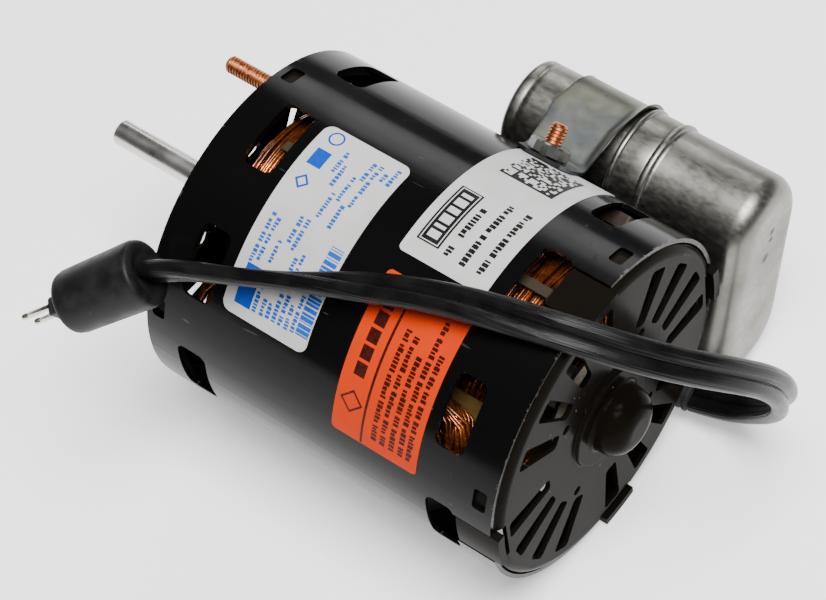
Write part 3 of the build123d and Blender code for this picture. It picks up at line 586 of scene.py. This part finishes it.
def cord_section():
    """Outline of a two-core flat cord as (width, thickness): two round lobes, waisted between them."""
    lobe = CORD_THICKNESS / 2
    centre = CORD_WIDTH / 2 - lobe
    lobe_end, waist = 1.6, 1.0
    reach = degrees(acos(-sqrt(lobe * lobe - lobe_end * lobe_end) / lobe))
    steps = 14
    outline = []
    for side in (1, -1):
        for k in range(steps + 1):
            angle = radians(-reach + 2 * reach * k / steps)
            outline.append((side * (centre + lobe * cos(angle)), side * lobe * sin(angle)))
        outline.append((0.0, side * waist))
    return outline


def width_at(share):
    """The cord's width direction at a share of its length."""
    for (start, first), (stop, second) in zip(CORD_TWIST, CORD_TWIST[1:]):
        if share <= stop:
            amount = (share - start) / (stop - start)
            smooth = amount * amount * (3 - 2 * amount)
            return Vector(first).normalized().lerp(Vector(second).normalized(), smooth).normalized()
    return Vector(CORD_TWIST[-1][1]).normalized()


def add_cord(points):
    """The flat lead, swept along its line with its own map of length and girth."""
    outline = cord_section()
    travelled = distances(points)
    girth = 20.0
    rings = []
    for k, point in enumerate(points):
        across, beside = axes_about(heading(points, k), width_at(travelled[k] / travelled[-1]))
        rings.append([point + across * w + beside * t for w, t in outline])
    cord = add_piece("flat_lead", skin(rings), "lead_insulation", material=CORD_JACKET, sharp=60)
    layer = cord.data.uv_layers.new(name="lead_map")
    count = len(outline)
    for polygon in cord.data.polygons:
        columns = [cord.data.loops[loop].vertex_index % count for loop in polygon.loop_indices]
        wraps = max(columns) - min(columns) > count // 2
        for loop, column in zip(polygon.loop_indices, columns):
            row = cord.data.loops[loop].vertex_index // count
            turn = (column + count if wraps and column < count // 2 else column) / count
            layer.data[loop].uv = (travelled[row] * MM, turn * girth * MM)
    return cord


def plug_frame():
    """Across the plug along its row of pins, and square to that."""
    return axes_about(PLUG_AXIS, PIN_ROW)


def add_plug():
    """The moulded plug: a drum with rounded ends and a parting line, and a block for the pins in front."""
    length = 21.6
    parting = radians(62)
    ridge_height, ridge_half = 0.16, radians(1.6)

    def with_parting(angle, distance, radius):
        gap = min(abs(((angle - line + pi) % (2 * pi)) - pi) for line in (parting, parting + pi))
        proud = ridge_height if 0.8 < distance < length - 0.6 else 0.0
        return radius + proud * max(0.0, 1 - gap / ridge_half)

    profile = [
        (0.9, 0.0), (0.9, 3.6), (0.35, 4.6), (0.0, 5.4), (0.0, 6.75), (0.12, 7.15), (0.42, 7.48),
        (0.9, 7.65), (1.5, 7.7), (6.0, 7.58), (11.0, 7.46), (16.0, 7.34), (20.2, 7.24), (20.9, 7.16),
        (21.35, 6.95), (21.55, 6.6), (length, 6.1), (length, 0.0),
    ]
    drum = lathe(profile, PLUG_REAR, PLUG_AXIS, PIN_ROW, segments=128, shape=with_parting)
    across, beside = plug_frame()
    block_long, block_wide, corner = 5.6, 4.6, 0.8
    rings = []
    for distance, shrink in ((20.8, 0.0), (25.7, 0.12), (26.05, 0.3), (26.2, 0.6)):
        outline = rounded_block((block_long - 2 * shrink, block_wide - 2 * shrink), corner - shrink * 0.6)
        centre = PLUG_REAR + PLUG_AXIS * distance
        rings.append([centre + across * u + beside * v for u, v in outline])
    plug = add_piece("moulded_plug", join([drum, skin(rings)]), "black_plastic", sharp=50)
    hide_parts("plug_body")
    return plug


def add_pins():
    """The plug's two round pins, with rounded tips and a shallow groove near the end."""
    across, _ = plug_frame()
    radius, groove, from_middle = 0.75, 0.65, 2.1
    profile = [(0, radius), (5.6, radius), (5.8, groove), (6.1, groove), (6.3, radius)]
    turns = [radians(turn) for turn in (0, 20, 40, 60, 78)]
    profile += [(7.3 + 0.7 * sin(turn), radius * cos(turn)) for turn in turns]
    base = PLUG_REAR + PLUG_AXIS * 26.0
    pins = [
        lathe(profile, base + across * offset, PLUG_AXIS, PIN_ROW, segments=28)
        for offset in (-from_middle, from_middle)
    ]
    pair = add_piece("round_pins", join(pins), "zinc_plate", material=PIN_METAL, sharp=40)
    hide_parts("plug_pins")
    return pair


def add_strain_relief():
    """The rubber grommet in the vent window, and its ribbed sleeve that tapers down to the flat cord."""
    across = polar(0, 1, GROMMET_ANGLE + 90)
    outward = polar(0, 1, GROMMET_ANGLE)
    window_x = SHELL_REAR + 13.45
    blocks = []
    for levels, length, width, corner, shift in (
        (((37.2, 0.5), (37.7, 0.0), (40.1, 0.0), (40.6, 0.5)), 10.0, 8.4, 1.5, 1.4),
        (((40.0, 0.0), (43.4, 0.0), (44.6, 0.6)), 7.0, 7.0, 2.0, 0.0),
    ):
        rings = []
        for radius, shrink in levels:
            outline = rounded_block((length - 2 * shrink, width - 2 * shrink), corner)
            centre = outward * radius + Vector((window_x + shift, 0, 0))
            rings.append([centre + Vector((u, 0, 0)) + across * v for u, v in outline])
        blocks.append(skin(rings))
    centre = polar(0, GROMMET_R, GROMMET_ANGLE)
    length = GROMMET_HEAD_X - GROMMET_TAIL_X
    steps, sides = 57, 40
    groove, end_round = 0.28, 0.5
    rings = []
    for k in range(steps + 1):
        share = k / steps
        rib = groove if (k % 6) >= 4 and 0.3 < share < 0.96 else 0.0
        end = end_round if k in (0, steps) else 0.0
        half_thick = 3.6 - 0.9 * share - rib - end
        half_wide = 4.5 - 0.1 * share - rib - end
        place = centre + Vector((GROMMET_HEAD_X - length * share, 0, 0))
        ring = []
        for j in range(sides):
            angle = 2 * pi * j / sides
            ring.append(place + across * half_wide * cos(angle) + outward * half_thick * sin(angle))
        rings.append(ring)
    relief_piece = add_piece("strain_relief", join([*blocks, skin(rings)]), "black_rubber", sharp=45)
    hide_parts("cord_grommet")
    return relief_piece


lead_line = cord_points()
lead = add_cord(lead_line)
plug = add_plug()
pins = add_pins()
strain_relief = add_strain_relief()
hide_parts("power_cord")


# ---- windings --------------------------------------------
WIRE_R = 0.43
LONG_TURN = 8.5
FRONT_STRETCH = 1.38


def wire_loop(centre, half_span, slot_r, end_r, far, wobble):
    """One turn of wire through two slots, with a flat arch over each end of the core.

    The arches of turns longer than LONG_TURN reach further at the front.
    """
    arch = 14
    points = []
    for core_end, outward, forward in ((CORE_FRONT, 1, True), (CORE_REAR, -1, False)):
        reach = far * FRONT_STRETCH if forward and far > LONG_TURN else far
        for k in range(arch + 1):
            share = k / arch if forward else 1 - k / arch
            rise = (1 - abs(2 * share - 1) ** 4) ** 0.25
            angle = centre + half_span * (2 * share - 1)
            drift = sin(share * 9 + wobble) * 0.35 * rise
            points.append(polar(core_end + outward * (1.0 + (reach - 1.0) * rise),
                                slot_r + (end_r - slot_r) * rise + drift, angle))
    return points


def add_bundle(name, centres, layers, radii, slot_radii, count, node, seed):
    """Coils as bundles of separate wires. Each layer is a half span, a nearest and a furthest reach."""
    dice = random.Random(seed)
    wires = []
    for centre in centres:
        for half_span, near, far in layers:
            for _ in range(count):
                spread = dice.uniform(-2.2, 2.2)
                loop = wire_loop(
                    centre, half_span + spread * 0.6, dice.uniform(*slot_radii),
                    dice.uniform(radii[0] + 0.6, radii[1] - 0.8), dice.uniform(near + 0.5, far - 0.5),
                    dice.uniform(0, 6),
                )
                wires.append(tube(loop, WIRE_R, sides=6, closed=True))
    coils = add_piece(name, join(wires), "enamelled_copper")
    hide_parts(node)


WIRES = 34
add_bundle("main_coils", (0, 90, 180, 270), ((37.5, 9.0, 15.0), (22.5, 2.4, 8.2)), (29.4, 35.6),
           (24.5, 33.2), WIRES, "main_windings", 3)
add_bundle("start_coils", (45, 135, 225, 315), ((37.5, 2.4, 12.5),), (22.7, 28.2), (24.0, 33.0),
           WIRES, "start_windings", 7)


# ---- threads, nut and strap ------------------------------
THREAD_PITCH = 0.794
THREAD_DEPTH = 0.3


def thread(origin, direction, length, crest, segments=28):
    """A screw thread with a chamfered end, as a helical skin."""
    root = crest - THREAD_DEPTH
    chamfer, chamfer_slope = 0.7, 0.9
    rows_per_turn = 8
    rows = ceil(length / THREAD_PITCH * rows_per_turn)
    along = Vector(direction).normalized()
    across, beside = axes_about(direction, (0.3, 0.2, 1.0))
    rings = []
    for row in range(rows + 1):
        distance = length * row / rows
        ring = []
        for k in range(segments):
            turn = k / segments
            phase = (distance / THREAD_PITCH - turn) % 1.0
            height = max(0.0, min(1.0, 1.35 - abs(phase - 0.5) * 3.2))
            limit = crest - max(0.0, chamfer - (length - distance)) * chamfer_slope
            radius = min(root + (crest - root) * height, limit)
            angle = 2 * pi * turn
            spoke = across * cos(angle) + beside * sin(angle)
            ring.append(Vector(origin) + along * distance + spoke * radius)
        rings.append(ring)
    return skin(rings)


def add_mounting_studs():
    """The four studs: thread in front of the bell, plain shank through it and head behind."""
    axis, length, crest = (1, 0, 0), 13.2, 2.085
    shank = [(-3.2, 0), (-3.2, 1.9), (-2.9, 2.15), (-1.2, 2.15), (-1.2, 2.3), (0.0, 2.3), (0.0, 1.2)]
    parts = []
    for angle in STUD_ANGLES:
        base = polar(0, STUD_CIRCLE_R, angle)
        parts += [thread(base, axis, length, crest), lathe(shank, base, axis, segments=32)]
    studs = add_piece("threaded_studs", join(parts), "copper_plate", sharp=55)
    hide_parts("mounting_studs")


STRAP_STUD_X = -57.4
STRAP_STUD_ANGLE = 145.0
STRAP_STUD_TIP = 50.6
STRAP_STUD_SUNK = 0.2
STRAP_FOOT_R = SHELL_R + 0.2
STRAP_WALL = 0.8
NUT_SEAT_R = STRAP_FOOT_R + STRAP_WALL


def add_strap_stud():
    """The copper-flashed stud welded to the shell for the strap."""
    outward = polar(0, 1, STRAP_STUD_ANGLE)
    base = polar(STRAP_STUD_X, SHELL_R - STRAP_STUD_SUNK, STRAP_STUD_ANGLE)
    length, crest = STRAP_STUD_TIP - SHELL_R + STRAP_STUD_SUNK, 2.035
    stud = add_piece("welded_stud", thread(base, outward, length, crest), "copper_plate", sharp=55)
    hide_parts("strap_stud")


def add_strap_nut():
    """A hex nut with chamfered corners and an open bore."""
    across_flats, height = 8.7, 3.2
    outward = polar(0, 1, STRAP_STUD_ANGLE)
    base = polar(STRAP_STUD_X, NUT_SEAT_R, STRAP_STUD_ANGLE)

    def hexagon(angle, _distance, radius):
        if radius < across_flats * 0.45:
            return radius
        flat = across_flats / 2 / cos((angle % (pi / 3)) - pi / 6)
        return min(flat, radius)

    profile = [
        (height - 0.05, 2.1), (height, 2.45), (height, 3.85), (height - 0.12, 4.2), (height - 0.5, 5.02),
        (0.45, 5.02), (0.12, 4.3), (0.0, 3.9), (0.0, 2.1),
    ]
    corner_way = (-0.618, 0.437, 0.624)
    vertices, faces = lathe(profile, base, outward, corner_way, segments=96, shape=hexagon)
    nut = add_piece("hex_nut", (vertices, faces[:-2]), "zinc_plate", sharp=14)
    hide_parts("strap_nut")


CAP_ANGLE = 194.29
CAP_CENTRE_R = 55.8
CAN_HALF_LONG = 27.3
CAN_HALF_THICK = 12.1
ROUND_CENTRE = CAN_HALF_LONG - CAN_HALF_THICK
STRAP_X = (-63.2, -45.4)
LOWER_FOOT_ANGLE = 236.0


def cap_point(x, outward, along):
    """A point at x beside the capacitor's middle: outwards from the shaft, and down along the oval."""
    radial = polar(0, 1, CAP_ANGLE)
    down = Vector((0, -radial.z, radial.y))
    return Vector((x, 0, 0)) + radial * (CAP_CENTRE_R + outward) + down * along


def strap_side(side, foot_angle, reach):
    """The strap's inner line from one foot's free end, round its bend, to the can's outermost point."""
    foot_free, foot_bend, bend_half = 4.8, 6.0, 3.0
    turn = radians(foot_angle - CAP_ANGLE)
    foot = Vector((STRAP_FOOT_R * cos(turn) - CAP_CENTRE_R, STRAP_FOOT_R * sin(turn)))
    towards = Vector((-sin(turn), cos(turn))) * (-side)
    free, bend = foot - towards * foot_free, foot + towards * foot_bend
    to_centre = Vector((0, side * ROUND_CENTRE)) - bend
    direction = atan2(to_centre.y, to_centre.x) + side * asin(reach / to_centre.length)
    leave = bend + Vector((cos(direction), sin(direction))) * bend_half
    arrive = bend - towards * bend_half
    touch = direction + side * pi / 2
    angles = [touch * (1 - k / 12) for k in range(13)]
    arc = [Vector((reach * cos(angle), side * ROUND_CENTRE + reach * sin(angle))) for angle in angles]
    points = [free.lerp(arrive, k / 5) for k in range(6)]
    points += [
        arrive * (1 - t) ** 2 + bend * 2 * t * (1 - t) + leave * t * t for t in (0.25, 0.5, 0.75, 1.0)
    ]
    points += [leave.lerp(arc[0], k / 5) for k in range(1, 5)]
    return points + arc


def strap_line(reach):
    """The strap's inner line as (outward, along) points, at a distance from the can's centre line."""
    upper = strap_side(-1, STRAP_STUD_ANGLE, reach)
    lower = strap_side(1, LOWER_FOOT_ANGLE, reach)
    flat = [upper[-1].lerp(lower[-1], k / 6) for k in range(1, 6)]
    return upper + flat + lower[::-1]


def add_strap():
    """The band round the capacitor: flat feet, the upper one slanted, and a flared rear edge."""
    line = strap_line(CAN_HALF_THICK + 0.1)
    travelled = distances(line)
    corner = 2.6
    flare_start, flare_run = 9, 8
    slant_run, slant_rear, slant_more = 26.0, 3.0, 3.0
    stations = [(0.0, 1.25), (0.35, 0.95), (0.9, 0.55), (1.7, 0.2), (2.8, 0.0), (6, 0.0), (10, 0.0),
                (14, 0.0), (17.2, 0.0), (17.8, 0.12)]
    width = STRAP_X[1] - STRAP_X[0]
    rows = []
    for k, point in enumerate(line):
        along = heading(line, k).normalized()
        normal = Vector((along.y, -along.x))
        end = min(travelled[k], travelled[-1] - travelled[k])
        trim = corner - sqrt(max(0.0, corner**2 - max(0.0, corner - end) ** 2))
        lifted = min(1.0, max(0.0, (end - flare_start) / flare_run))
        slant = max(0.0, 1 - travelled[k] / slant_run) ** 0.8
        inner, outer = [], []
        for station, flare in stations:
            x = STRAP_X[0] + trim + station * (width - 2 * trim) / width
            x -= slant * (slant_rear + slant_more * station / width)
            rise = flare * lifted
            low, high = point + normal * rise, point + normal * (rise + STRAP_WALL)
            inner.append(cap_point(x, low.x, low.y))
            outer.append(cap_point(x, high.x, high.y))
        rows.append(inner + outer[::-1])
    strap = add_piece("flared_strap", skin(rows), "zinc_plate", sharp=40)
    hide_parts("capacitor_strap")


def oval_ring(x, radius, steps=18, flat_steps=5):
    """A ring round the capacitor's oval at x: two half circles of that radius and the flats between."""
    ring = []
    for side, first in ((1, 0.0), (-1, 180.0)):
        for k in range(steps + 1):
            angle = radians(first + 180.0 * k / steps)
            ring.append(cap_point(x, radius * cos(angle), side * ROUND_CENTRE + radius * sin(angle)))
        for k in range(1, flat_steps):
            ring.append(cap_point(x, -side * radius, side * ROUND_CENTRE * (1 - 2 * k / flat_steps)))
    return ring


def bulge(x, radius, size_x, size_r, start, step, count):
    """Profile points on an oval about (x, radius). 0 degrees is its rear point and 90 its outer one."""
    turns = [radians(start + step * k) for k in range(count)]
    return [(x - size_x * cos(turn), radius + size_r * sin(turn)) for turn in turns]


def add_cover():
    """The cap pressed over the terminal end: rounded end, a bead, a wider mouth band and a rolled rim."""
    end_x, side_r, mouth_r, corner = -101.2, 12.8, 13.02, 5.0
    profile = [(end_x + 0.35, 0.4), (end_x + 0.3, 2.5), (end_x + 0.12, 5.0), (end_x, 7.0)]
    profile += bulge(end_x + corner, side_r - corner, corner, corner, 0, 9, 11)
    profile += [(-90.0, side_r), (-82.0, side_r), (-74.6, side_r)]
    profile += bulge(-72.75, side_r + 0.1, 0.95, 0.62, 0, 22.5, 9)
    profile += [(-71.4, 13.0), (-68.5, mouth_r), (-66.0, 13.04)]
    profile += bulge(-64.75, mouth_r, 0.75, 0.55, 0, 30, 9)
    profile += [(-65.6, 12.25), (-72.0, 12.22)]
    vertices, faces = skin([oval_ring(x, radius) for x, radius in profile])
    cover = add_piece("beaded_cover", (vertices, faces[:-1]), "tin_plate", sharp=70)
    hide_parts("capacitor_cover")


def add_can():
    """The oval can: a step, a rolled seam round its closed end and a slightly dished face."""
    front, side_r, seam = -34.2, CAN_HALF_THICK, 1.5
    profile = [(-83.9, 0.4), (-84.0, 3.0), (-84.0, side_r - 1.0), (-83.7, side_r - 0.3), (-83.0, side_r)]
    profile += [(-70.0, side_r), (-50.0, side_r), (-39.0, side_r), (-37.9, side_r), (-37.5, side_r - 0.22)]
    profile += [(-37.1, side_r - 0.05)]
    profile += bulge(front - seam, side_r - seam, seam, seam, 90, 15, 7)
    profile += [(front - 0.1, side_r - 2.1), (front - 0.9, side_r - 2.7), (front - 1.1, side_r - 3.6)]
    profile += [(front - 0.9, 5.0), (front - 0.8, 2.0), (front - 0.8, 0.4)]
    rings = [oval_ring(x, radius) for x, radius in profile]
    can = add_piece("seamed_can", skin(rings), "tin_plate", sharp=60)
    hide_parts("capacitor_can")


add_mounting_studs()
add_strap_stud()
add_strap_nut()
add_strap()
add_cover()
add_can()


# ---- print on the stickers -------------------------------
STICKER_THICKNESS = 0.12
PRINT_LIFT = 0.025
PRINT_R = SHELL_R + STICKER_THICKNESS + PRINT_LIFT
BAR_LIFT = 0.03


def patch(x0, x1, start, stop, lift=0.0):
    """A curved rectangle on the stickers' surface, or a little above it."""
    radius = PRINT_R + lift
    degrees_per_step = 2.5
    steps = max(1, ceil(abs(stop - start) / degrees_per_step))
    vertices, faces = [], []
    for k in range(steps + 1):
        angle = start + (stop - start) * k / steps
        vertices += [polar(x0, radius, angle), polar(x1, radius, angle)]
    for k in range(steps):
        faces.append((2 * k, 2 * k + 1, 2 * k + 3, 2 * k + 2))
    return vertices, faces


def stroke_line(x, height, start, stop, dice):
    """A line of short strokes of uneven width, in groups, that stands for small print."""
    gap, group_gap, wide_per_height = 0.36, 0.8, 0.855
    parts = []
    angle = start
    group = dice.randint(3, 7)
    while angle < stop - 0.5:
        wide = dice.uniform(0.55, 1.15) * wide_per_height * height
        trim = dice.choice((0.0, 0.0, 0.22)) * height
        parts.append(patch(x - height / 2 + trim, x + height / 2, angle, min(stop, angle + wide)))
        if dice.random() < 0.5:
            tail = angle + wide + gap / 2
            parts.append(patch(x - height * 0.12, x + height * 0.12, angle, min(stop, tail)))
        angle += wide + gap
        group -= 1
        if group == 0:
            angle += group_gap
            group = dice.randint(3, 7)
    return parts


def ring_mark(x, angle, outer, inner, sides=32):
    """A plain flat ring, or a diamond outline when it has four sides."""
    vertices, faces = [], []
    per_mm = degrees(1 / PRINT_R)
    for k in range(sides):
        turn = 2 * pi * k / sides
        for radius in (inner, outer):
            vertices.append(polar(x + radius * cos(turn), PRINT_R, angle + radius * sin(turn) * per_mm))
    for k in range(sides):
        here, after = 2 * k, 2 * ((k + 1) % sides)
        faces.append((here, here + 1, after + 1, after))
    return vertices, faces


def add_rating_print():
    """Blue print: a block, rows of small print in two groups, two plain marks and two fields of stripes."""
    dice = random.Random(11)
    rows = [
        (-41.7, 90.4, 97.5), (-39.9, 90.7, 94.1), (-37.9, 78.9, 95.9), (-36.2, 87.9, 95.9),
        (-36.6, 70.5, 78.6), (-34.7, 78.9, 87.9), (-33.0, 71.8, 80.4), (-31.2, 82.0, 90.4),
        (-29.5, 86.0, 94.7), (-31.8, 59.7, 70.5), (-30.1, 61.2, 70.5), (-28.3, 53.2, 61.2),
        (-25.5, 52.2, 66.5), (-23.9, 50.8, 67.7), (-35.1, 53.0, 60.3), (-33.6, 52.0, 58.4),
        (-28.8, 37.4, 49.0), (-30.8, 37.4, 43.6), (-32.4, 37.7, 43.0), (-34.1, 37.7, 47.0),
        (-35.8, 37.7, 48.8), (-37.5, 37.7, 46.0), (-39.2, 38.0, 50.0),
    ]
    strokes = []
    for x, start, stop in rows:
        strokes += stroke_line(x, 1.1, start, stop, dice)
    marks = [
        patch(-27.8, -23.5, 37.2, 50.4),
        ring_mark(-24.9, 96.2, 1.9, 1.45),
        patch(-26.7, -23.0, 84.6, 90.8),
        ring_mark(-25.0, 78.9, 1.9, 1.2, sides=4),
    ]
    stripes = []
    for x0, x1, start, stop in ((-42.9, -39.6, 52.0, 67.1), (-43.5, -40.1, 38.3, 51.6)):
        angle = start
        while angle < stop - 0.3:
            wide = dice.choice((0.3, 0.5, 0.9, 1.4))
            stripes.append(patch(x0, x1, angle, min(stop, angle + wide)))
            angle += wide + dice.choice((0.25, 0.25, 0.5))
    add_piece("rating_print", join(strokes), "white_label", material=PALE_BLUE_INK)
    add_piece("rating_marks", join(marks), "white_label", material=BLUE_INK)
    add_piece("rating_stripes", join(stripes), "white_label", material=PALE_BLUE_INK)


def add_identity_print():
    """Black print: a block with pale bars in it, rows of small print and a field of random squares."""
    dice = random.Random(5)
    parts = [patch(-60.5, -54.7, 81.2, 103.9)]
    bars = [patch(-60.0, -59.75, 81.7, 103.4, BAR_LIFT), patch(-55.45, -55.2, 81.7, 103.4, BAR_LIFT)]
    bars += [patch(-60.0, -55.2, start, start + 0.35, BAR_LIFT) for start in (81.7, 103.05)]
    angle = 83.4
    for wide in (2.6, 1.2, 3.0, 2.2, 2.8, 1.4):
        bars.append(patch(-59.0, -56.2, angle, angle + wide, BAR_LIFT))
        angle += wide + 1.0
    add_piece("identity_bars", join(bars), "white_label", material=PAPER_INK)
    for x, start, stop in (
        (-62.7, 87.9, 100.4), (-62.7, 80.7, 84.4), (-66.9, 93.5, 105.7), (-66.9, 80.3, 92.0),
        (-71.3, 87.1, 106.8), (-71.3, 80.7, 85.6),
    ):
        parts += stroke_line(x, 1.55, start, stop, dice)
    cells, filled = 20, 0.54
    low_x, high_x, low_angle, high_angle = -71.1, -57.2, 117.3, 137.2
    step_x, step_angle = (high_x - low_x) / cells, (high_angle - low_angle) / cells
    for row in range(cells):
        for column in range(cells):
            if row == 0 or column == 0 or dice.random() < filled:
                x, angle = low_x + column * step_x, low_angle + row * step_angle
                parts.append(patch(x, x + step_x, angle, angle + step_angle))
    add_piece("identity_print", join(parts), "white_label", material=BLACK_INK)


def add_caution_print():
    """Dark print: a rule, a row of even blocks, a plain diamond outline and five rows of small print."""
    dice = random.Random(23)
    parts = [patch(-61.85, -61.25, 15.4, 69.2), ring_mark(-57.7, 28.0, 3.0, 2.3, sides=4)]
    block_wide, block_step = 4.4, 5.5
    angle = 36.9
    for _ in range(5):
        parts.append(patch(-59.2, -56.4, angle, angle + block_wide))
        angle += block_step
    for x, start, stop in (
        (-64.7, 19.1, 57.0), (-67.0, 19.0, 56.2), (-69.4, 19.0, 51.6), (-71.8, 19.0, 64.9),
        (-74.0, 19.0, 55.4),
    ):
        parts += stroke_line(x, 1.4, start, stop, dice)
    add_piece("caution_print", join(parts), "orange_label", material=BROWN_INK)


add_rating_print()
add_identity_print()
add_caution_print()


# ---- finishes of the nodes that keep their shape ---------
def finish_nodes():
    """Gives every carried-over node its slot's material."""
    slots = {part["node"]: part["material_slot"] for part in frame["record"]["subparts"]}
    for name, node in CAD.items():
        node.data.materials.clear()
        node.data.materials.append(SLOTS[slots[name]])


finish_nodes()


# ---- floor and light -------------------------------------
def add_floor():
    """A plain pale floor under the motor."""
    half = 4.0
    mesh = bpy.data.meshes.new("floor")
    corners = [(-half, -half), (half, -half), (half, half), (-half, half)]
    mesh.from_pydata([(x, y, FLOOR_Z * MM) for x, y in corners], [], [(0, 1, 2, 3)])
    material, shader = principled("floor_white", (0.9, 0.9, 0.9), 0.8)
    shader.inputs["Emission Color"].default_value = (1, 1, 1, 1)
    shader.inputs["Emission Strength"].default_value = 0.5
    mesh.materials.append(material)
    floor = bpy.data.objects.new("floor", mesh)
    bpy.context.scene.collection.objects.link(floor)


def add_softbox(name, place, size, power, target=(-0.05, 0, 0)):
    """A square area light aimed at the motor."""
    light = bpy.data.lights.new(name, "AREA")
    light.shape = "SQUARE"
    light.size = size
    light.energy = power
    lamp = bpy.data.objects.new(name, light)
    aim = Vector(place) - Vector(target)
    lamp.matrix_world = Matrix.Translation(place) @ aim.to_track_quat("Z", "Y").to_matrix().to_4x4()
    bpy.context.scene.collection.objects.link(lamp)


def add_light():
    """Studio light: a dim white surround, a large box overhead and a weak one beyond the front end."""
    world = bpy.data.worlds.new("surround")
    world.use_nodes = True
    world.node_tree.nodes["Background"].inputs["Color"].default_value = (1, 1, 1, 1)
    world.node_tree.nodes["Background"].inputs["Strength"].default_value = 0.07
    bpy.context.scene.world = world
    add_softbox("overhead", (-0.45, 0.15, 1.7), 1.0, 85)
    add_softbox("side", (0.45, -1.1, 0.6), 0.45, 4)


add_floor()
add_light()
